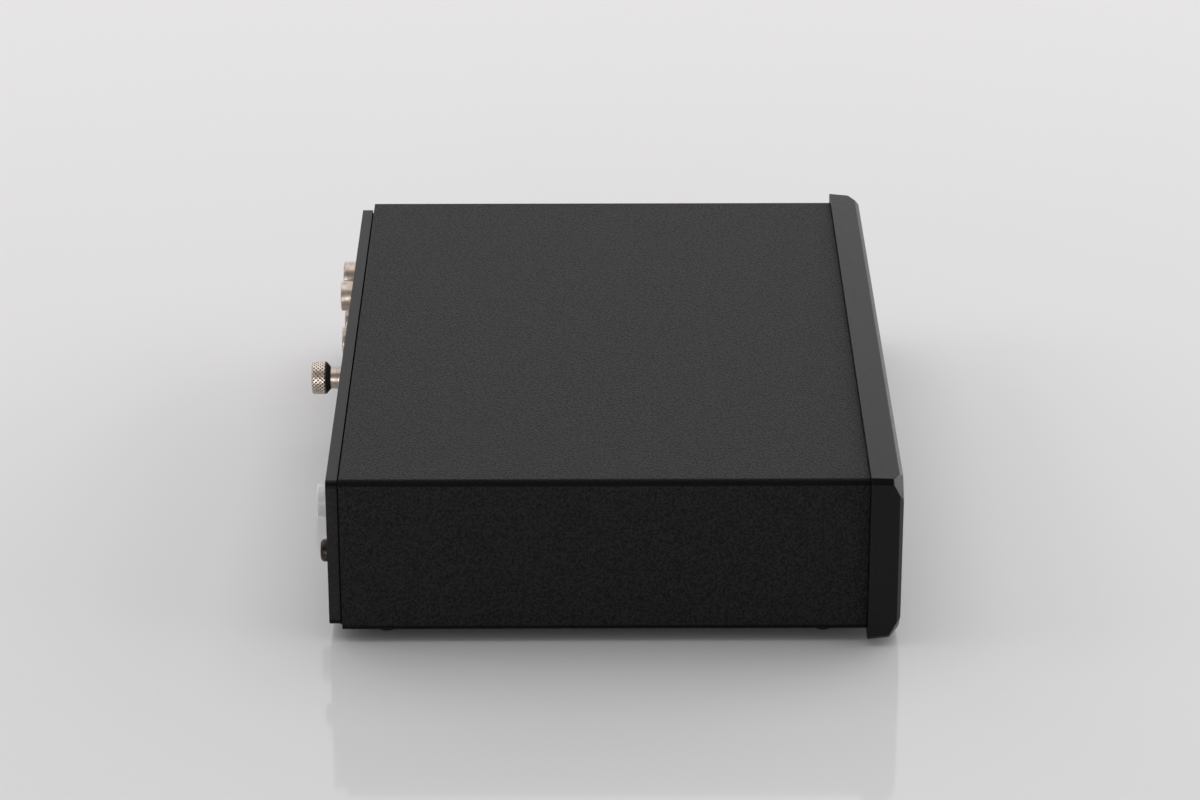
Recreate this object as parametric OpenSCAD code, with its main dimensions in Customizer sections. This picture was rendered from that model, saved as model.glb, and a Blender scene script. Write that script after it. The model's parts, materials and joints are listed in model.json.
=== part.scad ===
// Stereo phono preamplifier: a folded steel cover and a bent tray between a
// thick front panel and a plate at the rear, with its boards and connectors.
// +X is to the right seen from the front, -Y is the front, +Z is up, and z = 0
// is the surface that the feet stand on. Lengths are in millimetres.

/* [Cover] */
// Width of the folded cover
cover_w = 192.3; // [180:0.1:215]
// Length of the cover, from the front panel to its rear edge
cover_len = 133.2; // [127:0.1:160]
// Height of the cover
cover_h = 41.95; // [41:0.05:50]
// Thickness of the cover's sheet
sheet_t = 1.2; // [0.8:0.1:1.4]
// Outer radius of the cover's folds
bend_r = 1.5; // [1.5:0.1:3]
// Width of the lips folded in under the cover
lip_w = 9; // [8:0.5:12]
// Height of the cover's underside over the surface
ground_gap = 3.3; // [3:0.1:6]

/* [Front panel] */
// How far the front panel stands out past each side of the cover
front_side_lap = 3.325; // [1:0.025:5]
// How far the front panel stands out above and below the cover
front_rise_lap = 1.6; // [0.5:0.025:2]
// Thickness of the front panel
front_t = 8.3; // [8:0.1:12]
// How much the front panel's ends, top and bottom lean in over its thickness
front_draft = 0.6; // [0.2:0.05:1]
// Chamfer round the front face
face_chamfer = 0.9; // [0.4:0.1:1.5]
// Chamfer along the panel's four long corners
edge_chamfer = 1.25; // [0.4:0.05:1.5]
// Reach of the corner facets along the width and the height
facet_reach = 7.5; // [4:0.1:9]
// Reach of the corner facets along the thickness
facet_depth = 3.7; // [2:0.1:5]

/* [Rear panel] */
// How far the rear panel's sides lie inside the cover's
rear_side_inset = 1.9; // [0.5:0.1:3]
// How far the rear panel's height falls short of the cover's
rear_h_short = 1.75; // [1:0.05:2.5]
// How far the rear panel's centre lies below the cover's
rear_drop = 0.3; // [0:0.05:0.4]
// Thickness of the rear panel
rear_t = 2.9; // [2:0.1:4]
// Gap between the cover's edge and the rear panel
rear_seam = 0.5; // [0.1:0.05:0.6]
// Radius of the rear panel's corners
rear_corner_r = 1.6; // [0.5:0.1:3]

/* [Tray and feet] */
// Thickness of the tray's sheet
tray_t = 1.2; // [1:0.1:1.6]
// Gap between the tray's walls and the cover
tray_gap = 0.35; // [0.35:0.05:0.6]
// Height of the tray's side walls
tray_wall_h = 12; // [8:0.5:20]
// Width of the tabs that the rear panel is screwed to
tab_w = 10; // [9:0.5:12]
// Distance of the feet from the tray's sides
foot_inset = 17; // [16:0.5:30]
// Distance of the feet from the tray's front and rear
foot_end_inset = 16; // [12:0.5:30]
// Diameter of a rubber foot
foot_d = 12; // [9:0.5:16]

/* [Boards] */
// Height of the pillars under the main board
pillar_h = 3.1; // [3:0.1:4]
// Thickness of the circuit boards
board_t = 1.6; // [1:0.1:2]
// Distance of the main board from the cover's sides
board_side_gap = 8.5; // [8.5:0.5:10]
// Distance of the main board from the front panel
board_front_gap = 15; // [14:0.5:17]
// Distance of the control board from the front panel
control_gap = 10; // [9.5:0.1:11]
// Height of the control board
control_h = 22; // [20:0.5:24]

/* [Controls] */
// Diameter of the power button
power_d = 12; // [8:0.5:14]
// Diameter of the two small buttons
small_d = 6; // [4:0.5:8]
// How far the buttons stand out of the front face
button_proud = 1.7; // [1:0.1:2.5]
// Travel of a button
button_travel = 1.5; // [0.8:0.1:1.6]
// Distance of the power button from the front panel's left end
power_inset = 35.6; // [31:0.1:45]
// Distance of the filter button from the front panel's right end
filter_inset = 33.6; // [31:0.1:35]
// Distance between the two small buttons
small_pitch = 18; // [16.5:0.5:26]
// Distance from the power button to its light
power_light_step = 12; // [10:0.5:16]
// Distance from a small button to its light
small_light_step = 8; // [7:0.5:9]
// Diameter of the light pipes
light_d = 2.4; // [1.6:0.1:2.8]

/* [Jacks] */
// Distance of the outer jacks from the rear panel's side
jack_inset = 20.25; // [18:0.25:23]
// Distance between the two columns of jacks
jack_pitch_x = 14.9; // [14:0.1:17]
// Distance between the two rows of jacks
jack_pitch_z = 14.2; // [13:0.1:15]
// Height of the lower jacks over the main board
jack_rise = 6.4; // [6:0.1:7]
// Outer diameter of a jack's shell
jack_d = 8.4; // [8:0.1:9]
// How far the jacks stand out of the rear panel
jack_proud = 4.75; // [3:0.05:9]
// Diameter of the hole in a jack's centre contact
contact_d = 3.2; // [3:0.1:3.4]

/* [Ground post] */
// Distance of the ground post from the centre
post_x = 17; // [10:0.5:22]
// Diameter of the ground post's thread
post_thread_d = 4; // [3:0.1:4]
// Diameter of the ground post's collar
post_collar_d = 6.5; // [6:0.1:8]
// Length of the ground post's collar
post_collar_l = 5.5; // [4.5:0.1:7]
// Thickness of the ground post's washer
post_washer_t = 1.3; // [1:0.1:2]
// Diameter of the knurled thumb nut
thumb_d = 9.15; // [8.5:0.05:12]
// Length of the knurled thumb nut
thumb_l = 3.8; // [3.5:0.1:6]

/* [Power socket] */
// Distance of the power socket from the rear panel's side
socket_inset = 31.95; // [28:0.25:34]
// Diameter of the power socket's collar
socket_d = 8.6; // [8.5:0.1:10]
// How far the power socket's collar stands out
socket_proud = 4.3; // [3:0.1:5]
// Diameter of the hole that the plug goes into
socket_bore_d = 5.7; // [5.5:0.1:6]

/* [Screws] */
// Thread diameter of the screws
screw_d = 3; // [2.5:0.1:3]
// Head diameter of the screws
screw_head_d = 5.85; // [5.4:0.05:6.2]
// Head height of the screws
screw_head_h = 1.8; // [1.5:0.1:2.2]
// Distance of the rear panel's screws from its sides
side_screw_inset = 3.45; // [3.2:0.05:5]
// How far the rear panel's screws lie below its centre
side_screw_drop = 0.4; // [0:0.1:2]

/* [Hidden] */
$fn = 48;

// clearances
fit = 0.05;                 // round a seated piece
slide_fit = 0.15;           // round a button
run_fit = 0.05;             // between the thumb nut and its thread
face_gap = 0.03;            // between the turning faces of the ground post
eps = 0.01;                 // overcut of a hole

// lengths along Y, from the tip of a button to the tip of the ground post
post_reach = post_collar_l + post_washer_t + thumb_l;
total_len = button_proud + front_t + cover_len + rear_seam + rear_t + post_reach;
y_face = button_proud - total_len / 2;
y_seam = y_face + front_t;
y_cover_end = y_seam + cover_len;
y_plate = y_cover_end + rear_seam;
y_rear = y_plate + rear_t;

// heights
flange_drop = 1.5;          // of the tray's uprights below the cover's top
z_mid = ground_gap + cover_h / 2;
z_top = ground_gap + cover_h;
z_tray = ground_gap + sheet_t;
z_floor = z_tray + tray_t;
z_board = z_floor + pillar_h;
z_parts = z_board + board_t;
z_flange = z_top - sheet_t - flange_drop;
z_rear_mid = z_mid - rear_drop;

// casing
front_w = cover_w + 2 * front_side_lap;
front_h = cover_h + 2 * front_rise_lap;
rear_w = cover_w - 2 * rear_side_inset;
rear_h = cover_h - rear_h_short;
tray_x = cover_w / 2 - sheet_t - tray_gap;
upright_l = 14;             // length of the tray's raised wall ends
upright_slope = 8;

// screws
screw_r = screw_d / 2;
head_r = screw_head_d / 2;
hole_r = screw_r + fit;
panel_bite = 5;             // of a screw in the front panel
plate_bite = 2.5;           // of a screw past the sheet it holds
front_screw_mid = 22;       // of the inner pair from the centre
front_screw_side = 10.7;    // of the outer pair from the tray's sides
front_screw_edge = 9.475;   // from the front panel's top and bottom
front_screw_xs = [front_screw_mid, tray_x - front_screw_side];
front_screw_rise = front_h / 2 - front_screw_edge;
side_screw_x = rear_w / 2 - side_screw_inset;
side_screw_z = z_rear_mid - side_screw_drop;
cover_screw_edge = 3.25;    // from the lip's inner edge
cover_screw_x = cover_w / 2 - lip_w + cover_screw_edge;
cover_screw_inset = 11;
cover_screw_ys = [y_seam + cover_screw_inset, y_cover_end - cover_screw_inset];
boss_r = 2.6;
boss_h = 2.4;

// feet
foot_x = tray_x - foot_inset;
foot_ys = [y_seam + foot_end_inset, y_plate - foot_end_inset];
foot_seat = screw_head_h + 0.5;
foot_taper = 0.6;

// main board
board_x = cover_w / 2 - board_side_gap;
board_rear_gap = tray_t + 0.3;
pillar_inset = 5;           // of the pillars from the board's sides and front
pillar_rear_inset = 18;
y_board = y_seam + board_front_gap;
y_board_end = y_plate - board_rear_gap;
pillar_r = 2.75;
pillar_xs = [pillar_inset - board_x, 0, board_x - pillar_inset];
pillar_ys = [y_board + pillar_inset, y_board_end - pillar_rear_inset];

// places of the buttons and their lights, from the ends of the front panel
power_x = power_inset - front_w / 2;
filter_x = front_w / 2 - filter_inset;
cartridge_x = filter_x - small_pitch;
button_xs = [power_x, cartridge_x, filter_x];
button_ds = [power_d, small_d, small_d];
light_xs = [power_x + power_light_step, cartridge_x - small_light_step, filter_x - small_light_step];

// control board, upright behind the front panel
control_margin = 12;        // past the outer buttons
control_post_inset = 4;     // of the pillars from the board's ends
control_post_edge = 3.5;    // of the pillars from its long edges
control_post_mid = -18;     // place of the middle pillars, beside the ribbon header
control_screw_bite = 5;
y_control = y_seam + control_gap;
control_left = power_x - control_margin;
control_right = filter_x + control_margin;
control_post_xs = [control_left + control_post_inset, control_post_mid, control_right - control_post_inset];
control_post_zs = [z_mid - control_h / 2 + control_post_edge, z_mid + control_h / 2 - control_post_edge];

// inside of a button, its switch and its light
pocket_depth = 4;           // of the pocket behind each button
collar_t = 1.2;
collar_step = 1;
tail_r = 1.8;
tail_end = 2;               // behind the front panel
plunger_r = 1.4;
switch_w = 8.5;
switch_front = 3.7;         // behind the front panel
switch_back_t = 1.5;
light_step_t = 1.2;
light_step_r = 0.6;
light_end = 3.2;            // behind the front panel
diode_r = 1.5;

// jacks: columns from the rear panel's side, rows from the main board
jack_xs = [rear_w / 2 - jack_inset - jack_pitch_x, rear_w / 2 - jack_inset];
jack_zs = [z_parts + jack_rise, z_parts + jack_rise + jack_pitch_z];
jack_mid_x = (jack_xs[0] + jack_xs[1]) / 2;
jack_mid_z = (jack_zs[0] + jack_zs[1]) / 2;
housing_side = 7.5;         // past the jacks' axes
housing_rise = 7.4;         // above the upper jacks' axes
housing_w = jack_pitch_x + 2 * housing_side;
housing_depth = 12;
housing_top = jack_zs[1] + housing_rise;
housing_screw_l = 7;
housing_hole_l = 9;
shell_seat = 4;
shell_wall = 0.6;
shell_relief = 0.25;
shell_root = 0.3;           // of the full diameter, outside the panel's face
jack_gap = 0.4;             // round a shell in the rear panel
insulator_r = jack_d / 2 - shell_wall - fit;
insulator_recess = 0.6;
contact_wall = 0.35;
contact_recess = 1.2;
contact_depth = 9;

// ground post
thread_r = post_thread_d / 2;
post_tail = 9;              // behind the rear panel
post_step = 0.2;
post_step_l = 3.8;
lug_t = 0.6;
lug_r = 3.6;
lug_w = 3;
lug_len = 8;
post_nut_t = 3.2;
post_nut_flats = 7;
wire_r = 0.75;

// power socket
socket_x = -(rear_w / 2 - socket_inset);
socket_bush_r = 3.8;
socket_body_r = 6;
socket_len = 14;
socket_bore_depth = 6;
socket_pin_r = 1;
lead_run = 4;
lead_bend = 5;
lead_spread = 3;
header_size = [12, 6, 6];

// ribbon cable
ribbon_w = 18;
ribbon_t = 0.9;
ribbon_bend = 5;
ribbon_run = 2;
ribbon_rise = 3;
ribbon_z = z_mid + ribbon_rise;
ribbon_head = 9;
ribbon_head_t = 6;
ribbon_head_lap = 3;        // of a header past each side of the ribbon
y_ribbon = y_control + board_t + ribbon_head;
y_ribbon_down = y_ribbon + ribbon_run + ribbon_bend;

// parts on the main board: a side or an x is the place of a row's first copy
// from the board's side or from the middle, a y is from the board's front edge
can_edge = 0.4;
groove_z = 2;
groove_half = 0.6;
groove_depth = 0.45;
reservoir_r = 8;
reservoir_h = 25;
reservoir_side = 14;
reservoir_pitch = 19;
reservoir_y = 56;
coupling_r = 3.15;
coupling_h = 11;
coupling_x = -3;
coupling_pitch = 11;
coupling_ys = [30, 76];
supply_r = 4;
supply_h = 12;
supply_side = 16;
supply_pitch = 12;
supply_y = 40;
film_size = [10, 5, 9];
film_side = 13;
film_pitch = 13;
film_ys = [26, 38];
large_film_size = [13, 6, 11];
large_film_x = -4;
large_film_pitch = 20;
large_film_y = 49;
amp_socket_size = [10.4, 8, 3];
amp_size = [9.8, 6.4, 3.4];
amp_notch_r = 0.8;
amp_x = 2;
amp_pitch = 22;
amp_ys = [39, 62];
regulator_size = [10.2, 4.4, 9];
regulator_lift = 3;         // of a regulator over the board, on its legs
regulator_side = 22;
regulator_pitch = 26;
regulator_y = 22;
tab_t = 1.3;
tab_h = 6.4;
leg_w = 0.8;
leg_t = 0.5;
leg_y = 2.7;
leg_pitch = 2.54;
sink_size = [18, 10.5, 20];
sink_t = 1.6;
fin_t = 1.2;
relay_size = [15, 7.4, 9.8];
relay_pitch = 18;
relay_rear_inset = 32;
resistor_r = 1.15;
resistor_l = 6.2;
resistor_lift = 1.3;
resistor_span = 10;
lead_r = 0.3;
resistor_side = 8;
resistor_pitch = 7;
resistor_ys = [13, 60];
supply_resistor_side = 16;
supply_resistor_y = 10;

// ---- shared shapes ------------------------------------------------------

module along_y(p) {
    translate(p) rotate([-90, 0, 0]) children();
}

// an outline in Y and Z, w thick about the middle plane x
module side_profile(x, w) {
    translate([x - w / 2, 0, 0]) rotate([90, 0, 90]) linear_extrude(w) children();
}

module block(low, high) {
    translate(low) cube(high - low);
}

module round_rect(w, h, r) {
    square([w - 2 * r, h], center = true);
    square([w, h - 2 * r], center = true);
    for (sx = [-1, 1], sy = [-1, 1])
        translate([sx * (w / 2 - r), sy * (h / 2 - r)]) circle(r);
}

// all that lies past the plane through p with the outward normal n
module beyond(p, n) {
    s = 400;
    translate(p)
        rotate([0, acos(n[2] / norm(n)), atan2(n[1], n[0])])
            translate([-s / 2, -s / 2, 0]) cube(s);
}

module tube(outer_r, inner_r, h) {
    difference() {
        cylinder(r = outer_r, h = h);
        translate([0, 0, -eps]) cylinder(r = inner_r, h = h + 2 * eps);
    }
}

// pan head screw: the head stands on z = 0 and the shank hangs below
module pan_screw(shank) {
    slot_w = 0.6;
    difference() {
        rotate_extrude() polygon([
            [0, -shank], [screw_r - 0.3, -shank], [screw_r, 0.3 - shank], [screw_r, 0],
            [head_r, 0], [head_r, screw_head_h * 0.35], [head_r * 0.9, screw_head_h * 0.75],
            [head_r * 0.6, screw_head_h], [0, screw_head_h]
        ]);
        for (a = [0, 90]) rotate(a)
            translate([-head_r * 0.5, -slot_w / 2, screw_head_h * 0.4])
                cube([head_r, slot_w, screw_head_h]);
    }
}

// ---- casing -------------------------------------------------------------

module cover() {
    color("#27272a") difference() {
        translate([0, y_cover_end, z_mid]) rotate([90, 0, 0])
            linear_extrude(cover_len) difference() {
                round_rect(cover_w, cover_h, bend_r);
                round_rect(cover_w - 2 * sheet_t, cover_h - 2 * sheet_t, bend_r - sheet_t + 0.01);
                translate([lip_w - cover_w / 2, -cover_h]) square([cover_w - 2 * lip_w, cover_h]);
            }
        for (s = [-1, 1], y = cover_screw_ys)
            translate([s * cover_screw_x, y, ground_gap - eps]) cylinder(r = hole_r, h = sheet_t + 2 * eps);
    }
}

module tray_wall(s) {
    wall_top = z_tray + tray_wall_h;
    side_profile(s * (tray_x - tray_t / 2), tray_t) polygon([
        [y_seam, z_tray], [y_plate, z_tray], [y_plate, z_flange], [y_plate - upright_l, z_flange],
        [y_plate - upright_l - upright_slope, wall_top], [y_seam + upright_l + upright_slope, wall_top],
        [y_seam + upright_l, z_flange], [y_seam, z_flange]
    ]);
}

module base_tray() {
    color("#1b1b1d") difference() {
        union() {
            block([-tray_x, y_seam, z_tray], [tray_x, y_plate, z_floor]);
            block([-tray_x, y_seam, z_tray], [tray_x, y_seam + tray_t, z_flange]);
            for (s = [-1, 1]) {
                tray_wall(s);
                translate([s * (tray_x - tab_w / 2), y_plate - tray_t / 2, (z_tray + z_flange) / 2])
                    cube([tab_w, tray_t, z_flange - z_tray], center = true);
                for (y = cover_screw_ys)
                    translate([s * cover_screw_x, y, z_tray]) cylinder(r = boss_r, h = tray_t + boss_h);
            }
        }
        for (s = [-1, 1], y = cover_screw_ys)
            translate([s * cover_screw_x, y, z_tray - eps])
                cylinder(r = hole_r, h = tray_t + boss_h + 2 * eps);
        for (s = [-1, 1], y = foot_ys)
            translate([s * foot_x, y, z_tray - eps]) cylinder(r = hole_r, h = tray_t + 2 * eps);
        for (s = [-1, 1])
            along_y([s * side_screw_x, y_plate - tray_t - eps, side_screw_z])
                cylinder(r = hole_r, h = tray_t + 2 * eps);
        for (s = [-1, 1], x = front_screw_xs, t = [-1, 1])
            along_y([s * x, y_seam - eps, z_mid + t * front_screw_rise])
                cylinder(r = hole_r, h = tray_t + 2 * eps);
        for (x = button_xs)
            along_y([x, y_seam - eps, z_mid]) cylinder(r = tail_r + 0.4, h = tray_t + 2 * eps);
        for (x = light_xs)
            along_y([x, y_seam - eps, z_mid]) cylinder(r = light_d / 2 + 0.2, h = tray_t + 2 * eps);
    }
}

// block with leaning sides, chamfered edges and a flat facet on each front corner
module front_blank() {
    half_w = front_w / 2;
    half_h = front_h / 2;
    face_w = half_w - front_draft - face_chamfer;
    face_h = half_h - front_draft - face_chamfer;
    difference() {
        block([-half_w, y_face, z_mid - half_h], [half_w, y_seam, z_mid + half_h]);
        for (s = [-1, 1]) {
            beyond([s * half_w, y_seam, z_mid], [s * front_t, -front_draft, 0]);
            beyond([0, y_seam, z_mid + s * half_h], [0, -front_draft, s * front_t]);
            beyond([s * face_w, y_face, z_mid], [s, -1, 0]);
            beyond([0, y_face, z_mid + s * face_h], [0, -1, s]);
        }
        for (sx = [-1, 1], sz = [-1, 1]) {
            beyond([sx * (half_w - edge_chamfer), y_seam, z_mid + sz * half_h],
                   [sx * front_t, -2 * front_draft, sz * front_t]);
            beyond([sx * (half_w - facet_reach), y_face, z_mid + sz * half_h],
                   [sx / facet_reach, -1 / facet_depth, sz / facet_reach]);
        }
    }
}

module front_panel() {
    color("#303033") difference() {
        front_blank();
        for (i = [0:2]) {
            along_y([button_xs[i], y_face - eps, z_mid])
                cylinder(r = button_ds[i] / 2 + slide_fit, h = front_t + 2 * eps);
            along_y([button_xs[i], y_seam - pocket_depth, z_mid])
                cylinder(r = button_ds[i] / 2 + collar_step + 2 * slide_fit, h = pocket_depth + eps);
        }
        for (x = light_xs) {
            along_y([x, y_face - eps, z_mid]) cylinder(r = light_d / 2 + fit, h = front_t + 2 * eps);
            along_y([x, y_seam - light_step_t, z_mid])
                cylinder(r = light_d / 2 + light_step_r + fit, h = light_step_t + eps);
        }
        for (s = [-1, 1], x = front_screw_xs, t = [-1, 1])
            along_y([s * x, y_seam - panel_bite - 0.5, z_mid + t * front_screw_rise])
                cylinder(r = hole_r, h = panel_bite + 0.5 + eps);
    }
}

module rear_panel() {
    color("#3a3a3d") difference() {
        translate([0, y_rear, z_rear_mid]) rotate([90, 0, 0])
            linear_extrude(rear_t) round_rect(rear_w, rear_h, rear_corner_r);
        for (x = jack_xs, z = jack_zs)
            along_y([x, y_plate - eps, z]) cylinder(r = jack_d / 2 + jack_gap, h = rear_t + 2 * eps);
        along_y([jack_mid_x, y_plate - eps, jack_mid_z]) cylinder(r = hole_r, h = rear_t + 2 * eps);
        along_y([post_x, y_plate - eps, z_rear_mid]) cylinder(r = thread_r + fit, h = rear_t + 2 * eps);
        along_y([socket_x, y_plate - eps, z_rear_mid])
            cylinder(r = socket_bush_r + fit, h = rear_t + 2 * eps);
        for (s = [-1, 1])
            along_y([s * side_screw_x, y_plate - eps, side_screw_z])
                cylinder(r = hole_r, h = rear_t + 2 * eps);
    }
}

module foot(sx, y) {
    color("#19191a") translate([sx * foot_x, y, 0]) difference() {
        rotate_extrude() polygon([
            [0, 0], [foot_d / 2 - foot_taper - 0.4, 0], [foot_d / 2 - foot_taper, 0.4],
            [foot_d / 2, z_tray], [0, z_tray]
        ]);
        translate([0, 0, -eps]) cylinder(r = hole_r, h = z_tray + 2 * eps);
        translate([0, 0, -eps]) cylinder(r = head_r + 0.2, h = foot_seat + eps);
    }
}

module foot_front_left() { foot(-1, foot_ys[0]); }
module foot_front_right() { foot(1, foot_ys[0]); }
module foot_rear_left() { foot(-1, foot_ys[1]); }
module foot_rear_right() { foot(1, foot_ys[1]); }

// ---- screws of the casing -----------------------------------------------

module foot_screws() {
    color("#b9babc") for (s = [-1, 1], y = foot_ys)
        translate([s * foot_x, y, foot_seat]) rotate([180, 0, 0])
            pan_screw(z_floor - foot_seat + 2);
}

module cover_screws() {
    color("#232325") for (s = [-1, 1], y = cover_screw_ys)
        translate([s * cover_screw_x, y, ground_gap]) rotate([180, 0, 0])
            pan_screw(sheet_t + tray_t + boss_h - 0.2);
}

module front_panel_screws() {
    color("#b9babc") for (s = [-1, 1], x = front_screw_xs, t = [-1, 1])
        along_y([s * x, y_seam + tray_t, z_mid + t * front_screw_rise])
            pan_screw(tray_t + panel_bite);
}

module rear_panel_screws() {
    color("#232325") for (s = [-1, 1])
        along_y([s * side_screw_x, y_rear, side_screw_z]) pan_screw(rear_t + tray_t + plate_bite);
}

// ---- front controls -----------------------------------------------------

// button with a dished face, a collar behind the panel and a tail to its switch
module button(i) {
    r = button_ds[i] / 2;
    t_collar = button_proud + front_t - pocket_depth + 0.1;
    t_tail = button_proud + front_t + tail_end;
    color("#333336") along_y([button_xs[i], y_face - button_proud, z_mid])
        rotate_extrude() polygon([
            [0, 0.3], [r * 0.65, 0.12], [r - 0.4, 0], [r, 0.4], [r, t_collar],
            [r + collar_step, t_collar], [r + collar_step, t_collar + collar_t],
            [tail_r, t_collar + collar_t], [tail_r, t_tail], [0, t_tail]
        ]);
}

module plunger(i) {
    start = y_seam + tail_end;
    stop = y_control - switch_back_t - button_travel - 0.2;
    color("#e4e2da") along_y([button_xs[i], start, z_mid]) cylinder(r = plunger_r, h = stop - start);
}

module switch_case(i) {
    front = y_seam + switch_front;
    color("#2b2f36") difference() {
        block([button_xs[i] - switch_w / 2, front, z_mid - switch_w / 2],
              [button_xs[i] + switch_w / 2, y_control, z_mid + switch_w / 2]);
        along_y([button_xs[i], front - eps, z_mid])
            cylinder(r = plunger_r + slide_fit, h = y_control - switch_back_t - front + eps);
    }
}

module power_button() { button(0); }
module cartridge_button() { button(1); }
module filter_button() { button(2); }
module power_plunger() { plunger(0); }
module cartridge_plunger() { plunger(1); }
module filter_plunger() { plunger(2); }
module power_switch() { switch_case(0); }
module cartridge_switch() { switch_case(1); }
module filter_switch() { switch_case(2); }

module light_pipes() {
    r = light_d / 2;
    color("#e9edf2") for (x = light_xs)
        along_y([x, y_face - 0.2, z_mid]) rotate_extrude() polygon([
            [0, 0], [r * 0.6, 0.06], [r, 0.3], [r, front_t + 0.2 - light_step_t + fit],
            [r + light_step_r, front_t + 0.2 - light_step_t + fit], [r + light_step_r, front_t + 0.2],
            [r, front_t + 0.2], [r, front_t + 0.2 + light_end], [0, front_t + 0.2 + light_end]
        ]);
}

module light_diodes() {
    front = y_seam + light_end + 0.2;
    depth = y_control - front;
    color("#c9e4f5") for (x = light_xs) along_y([x, front, z_mid]) {
        translate([0, 0, diode_r]) sphere(diode_r);
        translate([0, 0, diode_r]) cylinder(r = diode_r, h = depth - diode_r);
        translate([0, 0, depth - 1]) cylinder(r = diode_r + 0.4, h = 1);
    }
}

// ---- boards -------------------------------------------------------------

module control_board() {
    color("#1f5b34") difference() {
        block([control_left, y_control, z_mid - control_h / 2],
              [control_right, y_control + board_t, z_mid + control_h / 2]);
        for (x = control_post_xs, z = control_post_zs)
            along_y([x, y_control - eps, z]) cylinder(r = hole_r, h = board_t + 2 * eps);
    }
}

module control_board_pillars() {
    color("#c8c9cb") for (x = control_post_xs, z = control_post_zs)
        along_y([x, y_seam + tray_t, z]) tube(pillar_r, hole_r, control_gap - tray_t);
}

module control_board_screws() {
    color("#b9babc") for (x = control_post_xs, z = control_post_zs)
        along_y([x, y_control + board_t, z]) pan_screw(board_t + control_screw_bite);
}

module main_board() {
    color("#1f5b34") difference() {
        block([-board_x, y_board, z_board], [board_x, y_board_end, z_parts]);
        for (x = pillar_xs, y = pillar_ys)
            translate([x, y, z_board - eps]) cylinder(r = hole_r, h = board_t + 2 * eps);
    }
}

module main_board_pillars() {
    color("#c8c9cb") for (x = pillar_xs, y = pillar_ys)
        translate([x, y, z_floor]) tube(pillar_r, hole_r, pillar_h);
}

module main_board_screws() {
    color("#b9babc") for (x = pillar_xs, y = pillar_ys)
        translate([x, y, z_parts]) pan_screw(board_t + pillar_h - 0.4);
}

module ribbon_headers() {
    half_w = ribbon_w / 2 + ribbon_head_lap;
    half_t = ribbon_head_t / 2;
    color("#2a2a2c") {
        block([-half_w, y_control + board_t, ribbon_z - half_t], [half_w, y_ribbon, ribbon_z + half_t]);
        block([-half_w, y_ribbon_down - half_t, z_parts],
              [half_w, y_ribbon_down + half_t, z_parts + ribbon_head]);
    }
}

module ribbon_cable() {
    low = z_parts + ribbon_head;
    bend_y = y_ribbon + ribbon_run;
    bend_z = ribbon_z - ribbon_bend;
    color("#9a9da3") side_profile(0, ribbon_w) {
        translate([y_ribbon, ribbon_z - ribbon_t / 2]) square([ribbon_run, ribbon_t]);
        translate([bend_y, bend_z]) intersection() {
            difference() {
                circle(ribbon_bend + ribbon_t / 2);
                circle(ribbon_bend - ribbon_t / 2);
            }
            square(2 * ribbon_bend);
        }
        translate([y_ribbon_down - ribbon_t / 2, low]) square([ribbon_t, bend_z - low]);
    }
}

// ---- jacks --------------------------------------------------------------

module jack_housing() {
    color("#1c1c1e") difference() {
        block([jack_mid_x - housing_w / 2, y_plate - housing_depth, z_parts],
              [jack_mid_x + housing_w / 2, y_plate, housing_top]);
        for (x = jack_xs, z = jack_zs)
            along_y([x, y_plate - shell_seat, z])
                cylinder(r = jack_d / 2 - shell_relief + fit, h = shell_seat + eps);
        along_y([jack_mid_x, y_plate - housing_hole_l, jack_mid_z])
            cylinder(r = hole_r, h = housing_hole_l + eps);
    }
}

module jack_housing_screw() {
    color("#232325") along_y([jack_mid_x, y_rear, jack_mid_z]) pan_screw(rear_t + housing_screw_l);
}

module jack_shell(x, z) {
    r = jack_d / 2;
    neck_r = r - shell_relief;
    bore_r = r - shell_wall;
    root = shell_seat + rear_t + shell_root;
    tip = shell_seat + rear_t + jack_proud;
    color("#c9c2b8") along_y([x, y_plate - shell_seat, z]) rotate_extrude() polygon([
        [bore_r, 0], [neck_r, 0], [neck_r, root], [r, root], [r, tip - 0.8],
        [r - 0.45, tip], [bore_r, tip]
    ]);
}

module input_left_shell() { jack_shell(jack_xs[0], jack_zs[1]); }
module input_right_shell() { jack_shell(jack_xs[0], jack_zs[0]); }
module output_left_shell() { jack_shell(jack_xs[1], jack_zs[1]); }
module output_right_shell() { jack_shell(jack_xs[1], jack_zs[0]); }

module jack_insulator(x, z) {
    along_y([x, y_plate - shell_seat, z])
        tube(insulator_r, contact_d / 2 + contact_wall, shell_seat + rear_t + jack_proud - insulator_recess);
}

module left_insulators() {
    color("#eeeeea") for (x = jack_xs) jack_insulator(x, jack_zs[1]);
}

module right_insulators() {
    color("#b3211d") for (x = jack_xs) jack_insulator(x, jack_zs[0]);
}

module jack_contacts() {
    depth = shell_seat + rear_t + jack_proud - contact_recess;
    color("#cbb47a") for (x = jack_xs, z = jack_zs) along_y([x, y_plate - shell_seat, z])
        difference() {
            cylinder(r = contact_d / 2 + contact_wall, h = depth);
            translate([0, 0, depth - contact_depth]) cylinder(r = contact_d / 2, h = contact_depth + eps);
        }
}

// ---- ground post --------------------------------------------------------

module ground_post() {
    r = post_collar_d / 2;
    stud_end = post_reach - 0.5;
    tail = rear_t + post_tail;
    color("#c9c4bb") along_y([post_x, y_rear, z_rear_mid]) rotate_extrude() polygon([
        [0, -tail], [thread_r - 0.4, -tail], [thread_r, 0.4 - tail], [thread_r, 0],
        [r, 0], [r, post_step_l], [r - post_step, post_step_l], [r - post_step, post_collar_l],
        [thread_r, post_collar_l], [thread_r, stud_end - 0.4], [thread_r - 0.4, stud_end], [0, stud_end]
    ]);
}

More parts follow.
